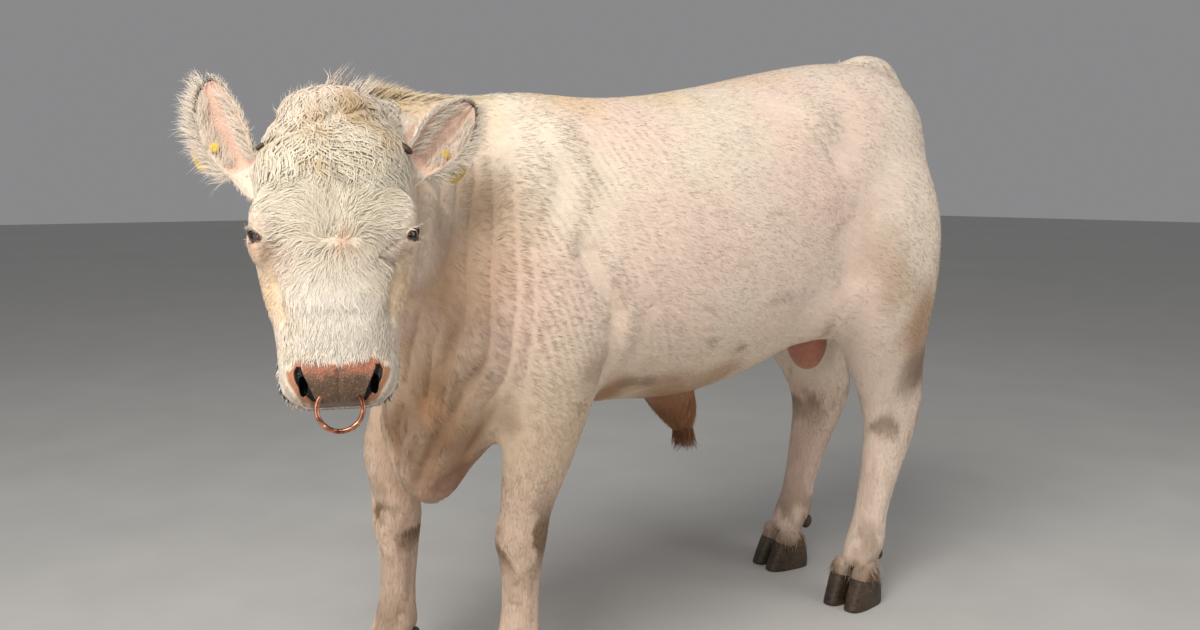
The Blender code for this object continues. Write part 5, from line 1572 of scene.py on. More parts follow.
# strokes of each digit on a grid of 2 by 4 half steps
digitStrokes = {"2": [(0, 4, 2, 4), (2, 4, 2, 2), (2, 2, 0, 2), (0, 2, 0, 0), (0, 0, 2, 0)],
                "7": [(0, 4, 2, 4), (2, 4, 1, 0)]}


def tagOutline(count=64):
    points = []
    for i in range(count):
        a = 2 * math.pi * i / count
        c, s = math.cos(a), math.sin(a)
        u = math.copysign(abs(c) ** 0.5, c) * tagSizes["width"] / 2
        v = math.copysign(abs(s) ** 0.5, s) * tagSizes["height"] / 2
        points.append((u, v * (1 - 0.22 * max(-u / tagSizes["width"] * 2, 0) ** 2)))
    return points


def tagPieces(side):
    origin, along, across, cup = earFrame(side)
    spot = earMiddle(side, tagSizes["share"]) + across * tagSizes["out"] + cup * tagSizes["rise"]
    middle = spot + across * tagSizes["width"] * 0.42 - cup * tagSizes["behind"]
    t = tagSizes["thick"] / 2
    rings = []
    for size, level in ((0.90, -t), (0.985, -t), (1.0, -t * 0.6), (1.0, t * 0.6), (0.985, t),
                        (0.93, t), (0.91, t * 0.62), (0.5, t * 0.62)):
        rings.append([middle + across * u * size + along * v * size + cup * level
                      for u, v in tagOutline()])
    plate = loft("tag_" + side, rings)
    stud = tube("stud", [spot - cup * tagSizes["behind"], spot + cup * 0.0040],
                [tagSizes["stud"]] * 2, 20, along)
    rows = [(0.0019, 0.90), (0.0024, 1.0), (0.0034, 1.0), (0.0041, 0.86), (0.0043, 0.45)]
    button = tube("button", [spot + cup * h for h, _ in rows],
                  [tagSizes["button"] * r for _, r in rows], 32, along)
    joinAll(plate, [stud, button])
    marks = []
    for i, digit in enumerate(tagSizes["digits"]):
        for x0, y0, x1, y1 in digitStrokes[digit]:
            for face in (1, -1):
                ends = [middle + across * (0.002 + (y - 2) * 0.0050)
                        + along * ((i - 0.5) * 0.0135 + (x - 1) * 0.0036) * -face
                        + cup * face * t * (0.72 if face > 0 else 1.0) for x, y in ((x0, y0), (x1, y1))]
                step = (ends[1] - ends[0]).normalized() * 0.0008
                marks.append(tube("mark", [ends[0] - step, ends[1] + step], [0.0011, 0.0011], 8, cup,
                                  0.35))
    return plate, marks


tagYellow = noisyMaterial("tagPlastic", (206, 168, 26), (236, 204, 62), 60.0, 0.46, 0.0, 0.0002)
tagInk = noisyMaterial("tagInk", (24, 22, 20), (62, 56, 48), 200.0, 0.6, 0.0, 0.0001)
for side in sideSign:
    plate, marks = tagPieces(side)
    finishPiece(plate, tagYellow, ["ear_tag_" + side])
    ink = marks[0]
    bm = bmesh.new()
    for mark in marks:
        bm.from_mesh(mark.data)
        if mark is not ink:
            bpy.data.objects.remove(mark)
    bm.to_mesh(ink.data)
    bm.free()
    ink.name = "tag_numbers_" + side
    finishPiece(ink, tagInk)
print("scurs, ring and tags made")


# coat: tufts rooted on the skin, each with the colour of its root

skinPoints = readPoints(skin.data) - np.array(modelShift)
skinNormals = readNormals(skin.data)
skinCorners = np.empty(len(skin.data.polygons) * 3, int)
skin.data.polygons.foreach_get("vertices", skinCorners)
skinCorners = skinCorners.reshape(-1, 3)
triPoints = skinPoints[skinCorners]
triMiddle = triPoints.mean(axis=1)
triArea = np.linalg.norm(np.cross(triPoints[:, 1] - triPoints[:, 0],
                                  triPoints[:, 2] - triPoints[:, 0]), axis=1) / 2
triBare = bareSkin(triMiddle, skinNormals[skinCorners[:, 0]])[0]
coatTree = BVHTree.FromPolygons(skinPoints.tolist(), skinCorners.tolist())
print("skin read for the coat")


def unit(v):
    return v / np.maximum(np.linalg.norm(v, axis=1), 1e-9)[:, None]


def scatter(count, density, seed, bareLimit=0.4):
    # roots, normals and the random numbers that go with them
    rng = np.random.default_rng(seed)
    weight = triArea * np.maximum(density(triMiddle), 0) * (triBare < bareLimit)
    edges = np.cumsum(weight)
    pick = np.minimum(np.searchsorted(edges, rng.random(count) * edges[-1]), len(edges) - 1)
    a, b = rng.random((2, count))
    flip = a + b > 1
    a[flip], b[flip] = 1 - a[flip], 1 - b[flip]
    share = np.stack([1 - a - b, a, b], 1)[:, :, None]
    corners = skinCorners[pick]
    return ((skinPoints[corners] * share).sum(axis=1),
            unit((skinNormals[corners] * share).sum(axis=1)), rng)


def browLie(points):
    # rises from the whorl along the parting, arches out to the temples; falls below the whorl
    down, left, out = headCoords(points)
    off = left - 0.004
    wide = np.clip(np.abs(off) / 0.10, 0, 1.2)
    above = 1 - smoothStep(0.222, 0.258, down)
    nose = smoothStep(0.312, 0.335, down)
    a = above * (-1.0 + 1.30 * wide ** 0.75) + (1 - above) * 0.85
    b = above * np.tanh(off / 0.026) * (0.25 + 0.85 * wide)
    b += (1 - above) * np.clip((left - whorl["left"]) * 16, -1.3, 1.3)
    a += (1.0 - a) * nose
    b += (left * 3.0 - b) * nose
    return a, b


def pollLie(points):
    # falls to both sides of a middle that lies a little to the right
    down, left, out = headCoords(points)
    side = np.tanh((left + 0.024) / 0.026)
    turn = (layeredNoise(points, 0.050, 305) - 0.5) * 1.5
    a = 0.55 + 0.25 * np.abs(side) + 0.5 * smoothStep(0.05, 0.10, down)
    return a * np.cos(turn) - side * np.sin(turn), a * np.sin(turn) + side * np.cos(turn)


def headLie(points, part=None):
    down, left, out = headCoords(points)
    a, b = pollLie(points) if part == "poll" else browLie(points)
    if part is None:
        poll = 1 - smoothStep(0.105, 0.135, down)
        pollDown, pollSide = pollLie(points)
        a, b = a + (pollDown - a) * poll, b + (pollSide - b) * poll
    cheek = smoothStep(0.050, 0.085, -out) * smoothStep(0.07, 0.10, np.abs(left))
    a, b = a + (0.5 - a) * cheek, b * (1 - cheek)
    c = -0.9 * cheek + 0.6 * (1 - smoothStep(-0.02, 0.08, down)) * (1 - cheek)
    return (a[:, None] * np.array(faceDown) + b[:, None] * np.array(headLeft)
            + c[:, None] * np.array(faceOut))


def earLie(points, d):
    # along the ear and out to its edges
    for side in sideSign:
        origin, along, across, cup = earArrays(side)
        rel = points - origin
        near = ((rel @ along > 0.03) & (np.linalg.norm(rel, axis=1) < 0.21))[:, None]
        d = np.where(near, along + across * np.tanh(rel @ across / 0.02)[:, None] * 0.55, d)
    return d


def bodyLie(points):
    x, y, z = points.T
    leg = 1 - smoothStep(0.50, 0.72, z)
    rump = smoothStep(0.45, 0.80, -x)
    front = smoothStep(0.50, 0.62, x) * (1 - smoothStep(0.95, 1.15, z))
    d = np.stack([-0.90 + 0.55 * rump + 0.55 * front, y * 0, -0.35 - 0.55 * rump - 0.45 * front], 1)
    d[:, 0] += leg * (-0.12 - d[:, 0])
    d[:, 2] += leg * (-1.0 - d[:, 2])
    return d


def coatLie(points, normals, rng, swirl=0.30, jitter=0.16, part=None):
    # the lie of the coat, with slow turns and a little scatter, laid flat on the skin
    head = headShare(points)[:, None] if part is None else np.ones((len(points), 1))
    d = unit(bodyLie(points)) * (1 - head) + unit(headLie(points, part)) * head
    d = earLie(points, d)
    side = np.cross(normals, d)
    turn = (layeredNoise(points, 0.07, 301) - 0.5) * 2 * swirl + rng.normal(0, jitter, len(points))
    d = d * np.cos(turn)[:, None] + side * np.sin(turn)[:, None]
    return unit(d - normals * (d * normals).sum(axis=1)[:, None])


unwrapBoxes = {     # region: low u, low v, width, height
    "trunk": (0.00, 0.00, 0.60, 1.00), "head": (0.61, 0.00, 0.19, 1.00),
    "foreleft": (0.81, 0.00, 0.19, 0.20), "foreright": (0.81, 0.20, 0.19, 0.20),
    "hindleft": (0.81, 0.40, 0.19, 0.20), "hindright": (0.81, 0.60, 0.19, 0.20),
    "earleft": (0.81, 0.80, 0.09, 0.12), "earright": (0.91, 0.80, 0.09, 0.12),
    "tail": (0.81, 0.93, 0.19, 0.07),
}
tuftPatch = 0.003


def unwrapRoots(points):
    # each region of the skin is rolled out round its own axis
    x, y, z = points.T
    uv = np.zeros((len(points), 2))

    def lay(mask, name, along, angle):
        u, v, wide, high = unwrapBoxes[name]
        if name not in ("trunk", "head"):
            along, angle = angle, along
        uv[mask, 0] = u + wide * np.clip(along[mask], 0.004, 0.99)
        uv[mask, 1] = v + high * np.clip(angle[mask], 0.004, 0.99)

    everywhere = np.ones(len(points), bool)
    lay(everywhere, "trunk", (x + 0.90) / 1.75, np.arctan2(z - 0.90, y) / (2 * math.pi) + 0.5)
    down, left, out = headCoords(points)
    lay(headShare(points) > 0.5, "head", (down + 0.16) / 0.68,
        np.arctan2(out + 0.10, left) / (2 * math.pi) + 0.5)
    for kind, split in (("fore", x > -0.05), ("hind", x <= -0.05)):
        for side, s in sideSign.items():
            cx, cy = stance[kind][side]
            cx -= 0.09 if kind == "hind" else 0.0
            lay((z < 0.52) & split & (s * y > 0) & (x > -0.84 - 0.1 * (z < 0.2)), kind + side, z / 0.56,
                np.arctan2(y - cy, x - cx) / (2 * math.pi) + 0.5)
    for side in sideSign:
        origin, along, across, cup = earArrays(side)
        rel = points - origin
        near = (rel @ along > 0.03) & (np.linalg.norm(rel, axis=1) < 0.21)
        back = (rel @ cup < 0) * 0.5
        lay(near, "ear" + side, rel @ along / 0.20, 0.25 + (rel @ across) / 0.20 + back)
    lay((x < -0.80) & (np.abs(y + 0.02) < 0.05) & (z < 1.22) & (z > 0.40), "tail", (z - 0.1) / 1.15,
        np.arctan2(y + 0.02, x + 0.855) / (2 * math.pi) + 0.5)
    return uv


def coatPiece(name, verts, faces, roots, normals, share, rng, mat, spread=0.035):
    # verts: tufts by points by 3, faces: one tuft's triangles, share: 0 at the root to 1 at the tip
    count, size = verts.shape[:2]
    first = verts[0]
    middle = first.mean(axis=0)
    volume = sum(np.dot(first[a] - middle, np.cross(first[b] - middle, first[c] - middle))
                 for a, b, c in faces)
    if volume < 0:
        faces = faces[:, ::-1]
    mesh = bpy.data.meshes.new(name)
    mesh.vertices.add(count * size)
    mesh.vertices.foreach_set("co", (verts + np.array(modelShift)).astype(np.float32).ravel())
    index = (faces[None] + (np.arange(count) * size)[:, None, None]).reshape(-1)
    mesh.loops.add(len(index))
    mesh.loops.foreach_set("vertex_index", index.astype(np.int32))
    mesh.polygons.add(len(index) // 3)
    mesh.polygons.foreach_set("loop_start", np.arange(0, len(index), 3, dtype=np.int32))
    mesh.polygons.foreach_set("use_smooth", np.ones(len(index) // 3, bool))
    mesh.update(calc_edges=True)
    tone = paintCoat(roots) * rng.normal(1.0, spread, count)[:, None]
    addColour(mesh, "tone", np.repeat(np.clip(tone, 0, 1), size, axis=0))
    addNumbers(mesh, "tip", "FLOAT", "value", np.tile(share, count))
    patch = np.stack([np.tile((np.arange(size) % 3 - 1) * 0.5, 1), share - 0.5], 1) * tuftPatch
    uv = (unwrapRoots(roots)[:, None] + patch[None]).reshape(-1, 2)
    layer = mesh.uv_layers.new(name="OFBake")
    layer.data.foreach_set("uv", uv[index].astype(np.float32).ravel())
    facing = np.repeat(normals, size, axis=0)
    own = readNormals(mesh)
    mesh.normals_split_custom_set_from_vertices(unit(facing * 0.72 + own * 0.28).astype(np.float32))
    obj = linked(name, mesh)
    mesh.materials.append(mat)
    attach(obj, "root")
    coatCount.append(len(index) // 3)
    print(name, count, "tufts,", len(index) // 3, "triangles")
    return obj


coatCount = []
flakeFaces = np.array([(0, 3, 1), (0, 1, 2), (0, 2, 3), (1, 3, 2)])


def shortCoat(name, count, density, length, width, lift, seed, mat, bareLimit=0.4, swirl=0.16):
    # flat tapering tufts that lie along the coat
    roots, normals, rng = scatter(count, density, seed, bareLimit)
    lie = coatLie(roots, normals, rng, swirl, 0.09)
    side = np.cross(lie, normals)
    size = rng.uniform(0.75, 1.25, count)[:, None]
    bend = rng.normal(0, 0.10, count)[:, None]
    low = roots - normals * 0.0004
    verts = np.stack([low - side * width / 2 * size, low + side * width / 2 * size,
                      roots + lie * length * size * 0.42 + normals * lift * 0.8 * size,
                      roots + (lie + side * bend) * length * size
                      + normals * lift * size * rng.uniform(0.6, 1.3, count)[:, None]], 1)
    return coatPiece(name, verts, flakeFaces, roots, normals, np.array([0.0, 0.0, 0.5, 1.0]), rng,
                     mat, 0.018)


def lockFaces(sections):
    faces = [(0, 1, 2)]
    for k in range(sections - 2):
        a, b = k * 3, k * 3 + 3
        for j in range(3):
            m = (j + 1) % 3
            faces += [(a + j, b + m, a + m), (a + j, b + j, b + m)]
    last = (sections - 2) * 3
    faces += [(last + j, last + 3, last + (j + 1) % 3) for j in range(3)]
    return np.array(faces)


def locks(name, roots, normals, paths, width, thick, rng, mat, blunt=0.5):
    # paths: tufts by sections by 3; a three sided section that tapers to the tip
    count, sections = paths.shape[:2]
    rings = []
    for k in range(sections - 1):
        t = k / (sections - 1)
        ahead = unit(paths[:, k + 1] - paths[:, max(k - 1, 0)])
        side = unit(np.cross(ahead, normals))
        up = np.cross(side, ahead)
        taper = (1 - t ** (1 / blunt)) * (0.55 + 0.45 * min(t * 5, 1))
        w, h = width[:, None] * taper / 2, thick[:, None] * taper
        rings += [paths[:, k] - side * w, paths[:, k] + side * w, paths[:, k] + up * h]
    verts = np.stack(rings + [paths[:, -1]], 1)
    share = np.array([k / (sections - 1) for k in range(sections - 1) for _ in range(3)] + [1.0])
    return coatPiece(name, verts, lockFaces(sections), roots, normals, share, rng, mat, 0.07)


def straightPaths(roots, lie, normals, length, sections, bend, lift, wave, rng, sag=0.0):
    # free locks: they bend sideways, lift, wave and sag
    side = np.cross(lie, normals)
    phase = rng.uniform(0, 2 * math.pi, len(roots))
    paths = []
    for k in range(sections):
        t = k / (sections - 1)
        sway = bend * t * t + wave * np.sin(phase + 7.5 * t) * t
        paths.append(roots - normals * 0.001 + lie * (length * t)[:, None]
                     + side * (sway * length)[:, None] + normals * (lift * length * t)[:, None]
                     + np.array((0, 0, -1.0)) * (sag * length * t * t)[:, None])
    return np.stack(paths, 1)


def strands(name, roots, normals, lie, size, sections, bend, lift, wave, sizes, rng, mat, sag=0.0):
    # free locks with drawn bends, widths and thicknesses
    count = len(roots)
    paths = straightPaths(roots, lie, normals, size, sections, rng.normal(0, bend, count), lift, wave,
                          rng, sag)
    locks(name, roots, normals, paths, rng.uniform(*sizes["width"], count),
          rng.uniform(*sizes["thick"], count), rng, mat)


def laidPaths(roots, normals, length, sections, rise, wave, waves, seed, rng, part, over=0.0):
    # locks that follow the skin along its lie and wave together with their neighbours
    paths = [roots - normals * 0.001]
    here, facing = roots.copy(), normals.copy()
    phase = layeredNoise(roots, 0.030, seed) * 9.0 + rng.normal(0, 0.45, len(roots))
    lifted = rng.uniform(0.3, 1.6, len(roots))
    for k in range(1, sections):
        t = k / (sections - 1)
        lie = coatLie(here, facing, rng, 0.45, 0.05, part)
        side = np.cross(lie, facing)
        sway = wave * np.cos(phase + waves * 2 * math.pi * t)
        here = here + unit(lie + side * sway[:, None]) * (length / (sections - 1))[:, None]
        for i in range(len(here)):
            spot, normal, index, far = coatTree.find_nearest(here[i])
            here[i], facing[i] = spot, normal
        height = rise * math.sin(math.pi * min(0.15 + 0.75 * t, 1)) * length * lifted + over
        paths.append(here + facing * height[:, None])
    return np.stack(paths, 1)


def hairMaterial(name, rootShade, tipLight=(1.08, 1.06, 1.02), rough=0.58, depth=0.25, sheen=0.20):
    # the tone of the root's place, with painted shade that makes it warmer and darker towards the root
    # and painted light that makes it brighter towards the tip
    mat, tree, shader = newMaterial(name, rough, Sheen_Weight=sheen, Sheen_Roughness=0.45,
                                    Specular_IOR_Level=0.35, Subsurface_Weight=depth,
                                    Subsurface_Scale=0.006)
    shader.inputs["Subsurface Radius"].default_value = (1.0, 0.6, 0.4)
    tone = painted(tree, "tone", "Color")
    tip = painted(tree, "tip")
    place = ownPlace(tree)
    rootShadeTipLight = mixColour(tree, rangeNode(tree, tip, 0.0, 0.6, 0.0, 1.0), rootShade, tipLight)
    fine = noiseNode(tree, place, 700.0, 2.0)
    shade = rangeNode(tree, fine, 0.3, 0.7, 0.90, 1.06)
    colour = greyed(tree, mixColour(tree, 1.0, tone, rootShadeTipLight, "MULTIPLY"), shade)
    tree.links.new(colour, shader.inputs["Base Color"])
    tree.links.new(rangeNode(tree, fine, 0.3, 0.7, rough - 0.08, rough + 0.10),
                   shader.inputs["Roughness"])
    tree.links.new(bumpNode(tree, fine, 0.3, 0.0004), shader.inputs["Normal"])
    return mat


# in each hair material the first colour is painted shade at the root, the second painted light at the tip
shortHair = hairMaterial("shortHair", (0.99, 0.98, 0.96), (1.02, 1.01, 1.00), 0.58, 0.06, 0.12)
longHair = hairMaterial("longHair", (0.66, 0.60, 0.50), (1.06, 1.05, 1.03), 0.5)
fineHair = hairMaterial("fineHair", (0.93, 0.91, 0.86), rough=0.5)


def bodyDensity(points):
    high = smoothStep(0.46, 0.56, points[:, 2])
    return high * (1 - headShare(points)) * (1 - noEars(points))


def noEars(points):
    near = np.zeros(len(points))
    for side in sideSign:
        origin, along, across, cup = earArrays(side)
        rel = points - origin
        high = rel @ along
        wide = np.linalg.norm(rel - high[:, None] * along, axis=1)
        near = np.maximum(near, (high > 0.035) * (high < 0.21) * (wide < 0.070))
    return near


shortCoats = [      # name, tufts, x from, x to, length, width, lift
    ("coat_shoulder", 35000, 0.28, 0.99, 0.019, 0.0017, 0.0003),
    ("coat_barrel", 35000, -0.32, 0.28, 0.019, 0.0017, 0.0003),
    ("coat_rump", 35000, -0.99, -0.32, 0.019, 0.0017, 0.0003),
]
for number, (name, count, low, high, length, width, lift) in enumerate(shortCoats):
    shortCoat(name, count, lambda p: bodyDensity(p) * (p[:, 0] >= low) * (p[:, 0] < high),
              length, width, lift, 400 + number, shortHair)


def legDensity(points):
    return 1 - smoothStep(0.46, 0.56, points[:, 2])


shortCoat("coat_legs", 26000, legDensity, 0.013, 0.0017, 0.0007, 410, shortHair)


def foreheadDensity(points):
    down, left, out = headCoords(points)
    half = ramp(down, [(0.14, 0.110), (0.175, 0.086), (0.20, 0.076), (0.27, 0.072), (0.32, 0.062)])
    behind = ramp(down, [(0.00, -0.215), (0.06, -0.175), (0.12, -0.110)])
    part = smoothStep(behind, behind + 0.045, out) * (1 - smoothStep(half - 0.012, half, np.abs(left)))
    head = np.maximum(smoothStep(0.3, 0.6, headShare(points)), down < 0.07)
    return part * head * (1 - noEars(points)) * (down < 0.318)


def cheekDensity(points):
    down, left, out = headCoords(points)
    bald = 1 - 0.45 * foreheadDensity(points)
    return smoothStep(0.3, 0.7, headShare(points)) * bald * (1 - noEars(points))


shortCoat("coat_face", 38000, cheekDensity, 0.0100, 0.0013, 0.0006, 411, shortHair, 0.25)


def neckDensity(points):
    x, y, z = points.T
    neckPart = smoothStep(0.40, 0.52, x) * (1 - headShare(points)) * smoothStep(0.50, 0.6, z)
    thigh = smoothStep(0.42, 0.62, -x) * (1 - smoothStep(0.85, 1.0, z)) * smoothStep(0.40, 0.50, z)
    belly = (1 - smoothStep(0.62, 0.68, z)) * smoothStep(0.5, 0.55, z) * (np.abs(x) < 0.35)
    return (neckPart + 1.3 * thigh + belly) * (1 - noEars(points))


def mediumCoat(name, count, density, length, width, thick, lift, seed, mat, sections=4):
    roots, normals, rng = scatter(count, density, seed)
    lie = coatLie(roots, normals, rng, 0.40, 0.22)
    size = length * rng.uniform(0.7, 1.3, count)
    paths = straightPaths(roots, lie, normals, size, sections, rng.normal(0, 0.18, count), lift, 0.05,
                          rng)
    return locks(name, roots, normals, paths, width * rng.uniform(0.8, 1.2, count),
                 thick * rng.uniform(0.8, 1.2, count), rng, mat)


mediumCoat("coat_neck_and_thigh", 8000, neckDensity, 0.026, 0.0014, 0.0004, 0.012, 420, shortHair)


# forelock: wavy locks on the poll and the forehead

def pollDensity(points):
    edge = 0.100 + 0.050 * layeredNoise(points, 0.022, 306)
    return foreheadDensity(points) * (headCoords(points)[0] < edge)


def browDensity(points):
    down = headCoords(points)[0]
    return foreheadDensity(points) * (down >= 0.070) * (1 + 2.2 * bump(down, 0.302, 0.016))


def wavyLocks(name, count, density, length, width, thick, rise, wave, waves, seed, sections=8,
              part="brow", over=0.0):
    roots, normals, rng = scatter(count, density, seed)
    size = length * rng.uniform(0.7, 1.25, count)
    paths = laidPaths(roots, normals, size, sections, rise, wave, waves, seed, rng, part, over)
    return locks(name, roots, normals, paths, width * rng.uniform(0.7, 1.3, count),
                 thick * rng.uniform(0.8, 1.2, count), rng, longHair, 0.45)


wavyLocks("forelock_brow", 4900, browDensity, 0.040, 0.0020, 0.0008, 0.04, 0.55, 1.1, 431, 7)
wavyLocks("forelock_poll", 3800, pollDensity, 0.046, 0.0024, 0.0011, 0.07, 1.00, 1.4, 430, 8, "poll",
          0.0010)


def looseHair():
    # fine hair that stands out from the poll's outline
    roots, normals, rng = scatter(650, lambda p: pollDensity(p) * (headCoords(p)[0] < 0.05), 433)
    count = len(roots)
    lie = coatLie(roots, normals, rng, 0.5, 0.7, "poll")
    size = rng.uniform(0.012, 0.030, count)
    paths = straightPaths(roots, lie, normals, size, 6, rng.normal(0, 0.3, count), 0.55, 0.10, rng)
    locks("loose_poll_hair", roots, normals, paths, rng.uniform(0.0007, 0.0013, count),
          np.full(count, 0.0005), rng, fineHair)


looseHair()


def noseDensity(points):
    down, left, out = headCoords(points)
    return ((down > 0.312) * (down < 0.415) * (np.abs(left) < 0.075) * (out > -0.05)
            * (1 - 0.6 * smoothStep(0.35, 0.41, down)))


wavyLocks("nose_streaks", 2600, noseDensity, 0.015, 0.0016, 0.0008, 0.08, 0.45, 0.7, 432, 5)


# crest: hair that stands behind the poll and along the top of the neck

def crestDensity(points):
    x, y, z = points.T
    middle = ramp(x, [(0.33, 0.0), (0.58, 0.012), (0.68, 0.040), (0.742, 0.096), (0.80, 0.150)])
    on = smoothStep(0.40, 0.52, x) * (1 - smoothStep(0.79, 0.81, x)) * (z > 1.08)
    more = 1 + 2 * smoothStep(0.66, 0.76, x)
    return on * bump(y - middle, 0, 0.024) * (1 - 0.8 * headShare(points)) * more


def crestLocks():
    roots, normals, rng = scatter(1100, crestDensity, 440)
    count = len(roots)
    high = smoothStep(0.55, 0.76, roots[:, 0])
    lie = unit(np.stack([-0.75 + 0.25 * high, rng.normal(0, 0.22, count), 0.35 + 0.45 * high], 1))
    size = (0.030 + 0.026 * high) * rng.uniform(0.7, 1.3, count)
    side = unit(np.cross(lie, np.array((0.0, 0.0, 1.0)) + normals * 0.2))
    paths = straightPaths(roots, lie, np.cross(side, lie), size, 8, rng.normal(0, 0.3, count), -0.12,
                          0.10, rng)
    locks("crest_hair", roots, normals, paths, rng.uniform(0.0014, 0.0028, count),
          rng.uniform(0.0007, 0.0012, count), rng, fineHair)


crestLocks()


# ears: a long fringe along the edges and the tip, hair across the cup and short hair behind

def earEdge(side, t, s):
    origin, along, across, cup = earArrays(side)
    width = ramp(t, [(r[0], r[1]) for r in earRows])
    deep = ramp(t, [(r[0], r[2]) for r in earRows])
    bow = earSettings["bow"][side] * 4 * t * (1 - t)
    return (origin + along * (earSettings["length"] * t)[:, None]
            + across * (bow + s * width * 0.95)[:, None] + cup * (deep * 0.42)[:, None])


earHair = {"fringe": 1500, "inner": 420, "rear": 6400, "fringeLength": 0.032, "innerLength": 0.030}
fringeSizes = {"width": (0.0005, 0.0011), "thick": (0.0003, 0.0006)}
innerSizes = {"width": (0.0005, 0.0010), "thick": (0.0003, 0.0005)}


def earFringe(side):
    origin, along, across, cup = earArrays(side)
    rng = np.random.default_rng(450 + sideSign[side])
    count = earHair["fringe"]
    outer = rng.random(count) < 0.60
    s = np.where(outer, 1.0, -1.0) * rng.uniform(0.90, 1.04, count)
    t = rng.uniform(0.04, 1.0, count)
    roots = earEdge(side, t, s)
    fall = np.where(outer, 1.0, 0.40)
    lie = unit(across * (s * (0.95 - 0.65 * t) * fall)[:, None] + along * (0.25 + 0.85 * t)[:, None]
               + cup * rng.uniform(-0.35, 0.45, count)[:, None] + rng.normal(0, 0.12, (count, 3)))
    size = earHair["fringeLength"] * rng.uniform(0.5, 1.3, count) * np.where(outer, 1.0, 0.45)
    strands("ear_fringe_" + side, roots, np.tile(cup, (count, 1)), lie, size, 6, 0.25, 0.0, 0.06,
            fringeSizes, rng, fineHair, 0.10)


def earInner(side):
    origin, along, across, cup = earArrays(side)
    rng = np.random.default_rng(460 + sideSign[side])
    count = earHair["inner"]
    t = rng.uniform(0.12, 0.80, count)
    s = rng.choice((-1.0, 1.0), count) * rng.uniform(0.45, 0.95, count)
    roots = earEdge(side, t, s) - cup * (ramp(t, [(r[0], r[2]) for r in earRows])
                                         * (1 - s * s) * 0.9)[:, None]
    lie = unit(across * (-s * 0.55)[:, None] + along * rng.uniform(0.5, 1.0, count)[:, None]
               + cup * rng.uniform(0.05, 0.35, count)[:, None])
    size = earHair["innerLength"] * rng.uniform(0.6, 1.3, count)
    strands("ear_inner_hair_" + side, roots, np.tile(cup, (count, 1)), lie, size, 6, 0.2, 0.02, 0.05,
            innerSizes, rng, fineHair)


for side in sideSign:
    earFringe(side)
    earInner(side)
shortCoat("ear_rear_hair", earHair["rear"], noEars, 0.014, 0.0014, 0.0005, 470, shortHair, 0.5)


# brush of the tail, hair of the sheath, lashes

brushSizes = {"count": 1000, "height": (0.46, 0.66), "length": (0.13, 0.26), "end": 0.225,
              "width": (0.0028, 0.0052), "thick": (0.0012, 0.0024)}


def switchLocks():
    rng = np.random.default_rng(480)
    count = brushSizes["count"]
    z = rng.uniform(*brushSizes["height"], count)
    rows = np.array(tailRows)[::-1]
    x, y, wide = [np.interp(z, rows[:, 2], rows[:, k]) for k in (0, 1, 3)]
    angle = rng.uniform(0, 2 * math.pi, count)
    normals = np.stack([np.cos(angle), np.sin(angle), angle * 0], 1)
    roots = np.stack([x, y, z], 1) + normals * (wide * 0.8)[:, None]
    lie = unit(np.array((0.0, 0.0, -1.0)) + normals * rng.uniform(0.02, 0.12, count)[:, None])
    size = np.minimum(rng.uniform(*brushSizes["length"], count), z - brushSizes["end"])
    strands("tail_brush", roots, normals, lie, size, 10, 0.05, 0.0, 0.022, brushSizes, rng, longHair)


sheathHair = {"count": 520, "length": (0.030, 0.062), "width": (0.0014, 0.0030),
              "thick": (0.0006, 0.0012)}


def sheathLocks():
    rng = np.random.default_rng(481)
    count = sheathHair["count"]
    x, y, z, wide = sheathRows[-1]
    angle = rng.uniform(0, 2 * math.pi, count)
    normals = np.stack([np.cos(angle), np.sin(angle), angle * 0 - 0.3], 1)
    radius = wide * np.sqrt(rng.random(count))
    roots = np.array((x, y, z + 0.004)) + normals * radius[:, None]
    lie = unit(np.array((-0.10, 0.0, -1.0)) + normals * rng.uniform(-0.15, 0.30, count)[:, None])
    size = rng.uniform(*sheathHair["length"], count)
    strands("sheath_hair", roots, unit(normals), lie, size, 6, 0.2, 0.0, 0.07, sheathHair, rng, longHair)


lashSizes = {"each": 14, "length": (0.005, 0.010), "width": 0.0005, "thick": 0.0003}


def lashes():
    rng = np.random.default_rng(482)
    roots, ways = [], []
    for side in sideSign:
        look, across = [np.array(v) for v in lookAxes(side)]
        rise = np.cross(look, across)
        rise = rise if rise @ np.array(faceDown) < 0 else -rise
        for _ in range(lashSizes["each"]):
            a = math.pi * (0.24 + 0.50 * rng.random())
            spot = (np.array(eyeSpot[side]) + across * eyeSizes["slit"][0] * 1.05 * math.cos(a)
                    + rise * (eyeSizes["slit"][1] + 0.0025) * math.sin(a) + look * 0.0020)
            roots.append(spot)
            ways.append(look * 0.60 + across * (0.15 + 0.40 * math.cos(a)) + rise * 0.25
                        + rng.normal(0, 0.10, 3))
    roots, lie = np.array(roots), unit(np.array(ways))
    normals = unit(np.cross(lie, np.cross(np.tile(np.array(faceOut), (len(lie), 1)), lie)))
    size = rng.uniform(*lashSizes["length"], len(lie))
    paths = straightPaths(roots, lie, normals, size, 6, rng.normal(0, 0.2, len(lie)), -0.05, 0.0, rng,
                          0.15)
    locks("lashes", roots, normals, paths, np.full(len(lie), lashSizes["width"]),
          np.full(len(lie), lashSizes["thick"]), rng, fineHair)


def skirtDensity(points):
    x, y, z = points.T
    return bump(x, -0.06, 0.09) * (np.abs(y) < 0.08) * (z < 0.60) * (z > 0.40)


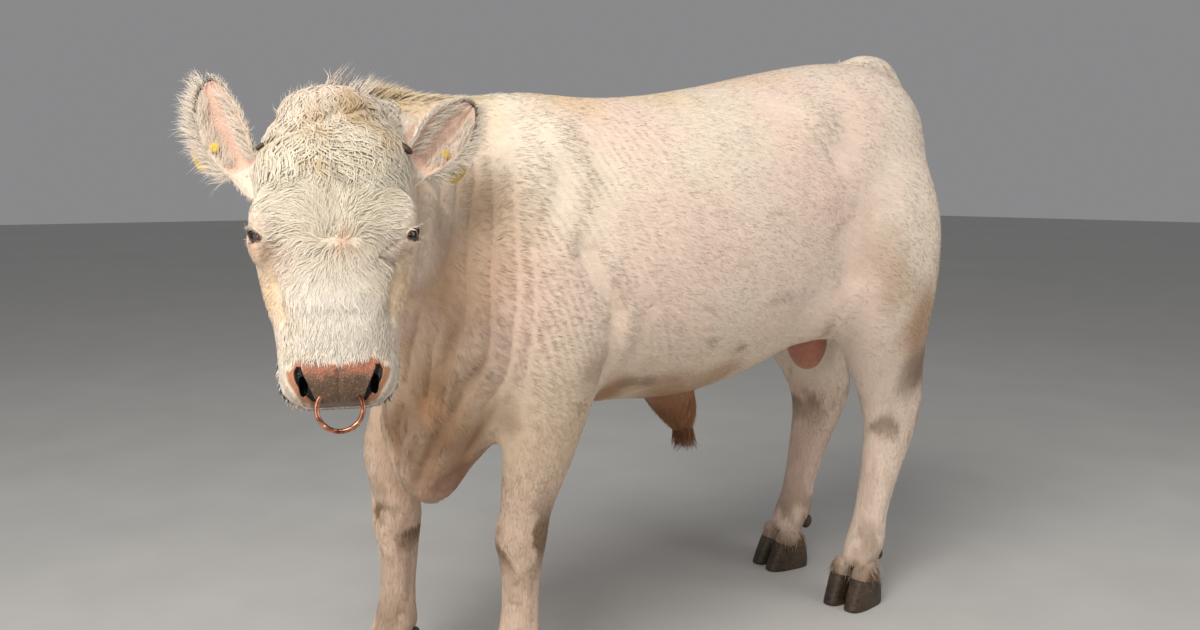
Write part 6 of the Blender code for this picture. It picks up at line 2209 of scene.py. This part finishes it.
switchLocks()
sheathLocks()
mediumCoat("coronet_hair", 2000, lambda p: (p[:, 2] < 0.125) * (p[:, 2] > 0.05), 0.030, 0.0017, 0.0008,
           0.16, 484, longHair)
mediumCoat("sheath_skirt", 1100, skirtDensity, 0.030, 0.0018, 0.0009, 0.10, 483, longHair)
lashes()
print("coat:", sum(coatCount), "triangles")


# floor, light and camera

studio = {"floor": (190, 189, 186), "lens": 30.0, "place": (1.38, 1.71, 1.03), "yaw": 234.1, "pitch": 7.3}


def makeFloor():
    bm = bmesh.new()
    bmesh.ops.create_grid(bm, x_segments=60, y_segments=60, size=30.0)
    obj = bmeshObject("studio_floor", bm)
    tone = studio["floor"]
    obj.data.materials.append(noisyMaterial("studioFloor", [c - 4 for c in tone], [c + 3 for c in tone],
                                            3.0, 0.75, 0.0, 0.0002))


def areaLight(name, place, target, size, power, colour):
    light = bpy.data.lights.new(name, "AREA")
    light.shape = "DISK"
    light.size = size
    light.energy = power
    light.color = colour
    obj = linked(name, light)
    obj.location = place
    obj.rotation_euler = (Vector(target) - Vector(place)).to_track_quat("-Z", "Y").to_euler()


makeFloor()
areaLight("key_light", (2.6, 1.5, 4.0), (0.15, 0.05, 0.8), 2.8, 178, (1.0, 0.97, 0.93))
areaLight("fill_light", (3.2, 0.6, 1.2), (0.2, 0.1, 0.5), 2.4, 26, (1.0, 0.95, 0.90))
areaLight("back_light", (-1.7, 2.5, 1.5), (-0.60, 0.1, 0.4), 2.0, 22, (1.0, 0.97, 0.92))
world = bpy.data.worlds.new("studioWorld")
world.use_nodes = True
world.node_tree.nodes["Background"].inputs[0].default_value = (0.90, 0.90, 0.92, 1.0)
world.node_tree.nodes["Background"].inputs[1].default_value = 0.28
bpy.context.scene.world = world

yaw, pitch = math.radians(studio["yaw"]), math.radians(studio["pitch"])
ahead = Vector((math.cos(yaw) * math.cos(pitch), math.sin(yaw) * math.cos(pitch), -math.sin(pitch)))
right = Vector((math.sin(yaw), -math.cos(yaw), 0))
cameraData = bpy.data.cameras.new("camera")
cameraData.lens = studio["lens"]
cameraData.sensor_width = 36
camera = linked("camera", cameraData)
camera.matrix_world = (Matrix.Translation(Vector(studio["place"]) + modelShift)
                       @ Matrix((right, right.cross(ahead), -ahead)).transposed().to_4x4())
bpy.context.scene.camera = camera
bpy.context.scene.view_settings.view_transform = "Standard"
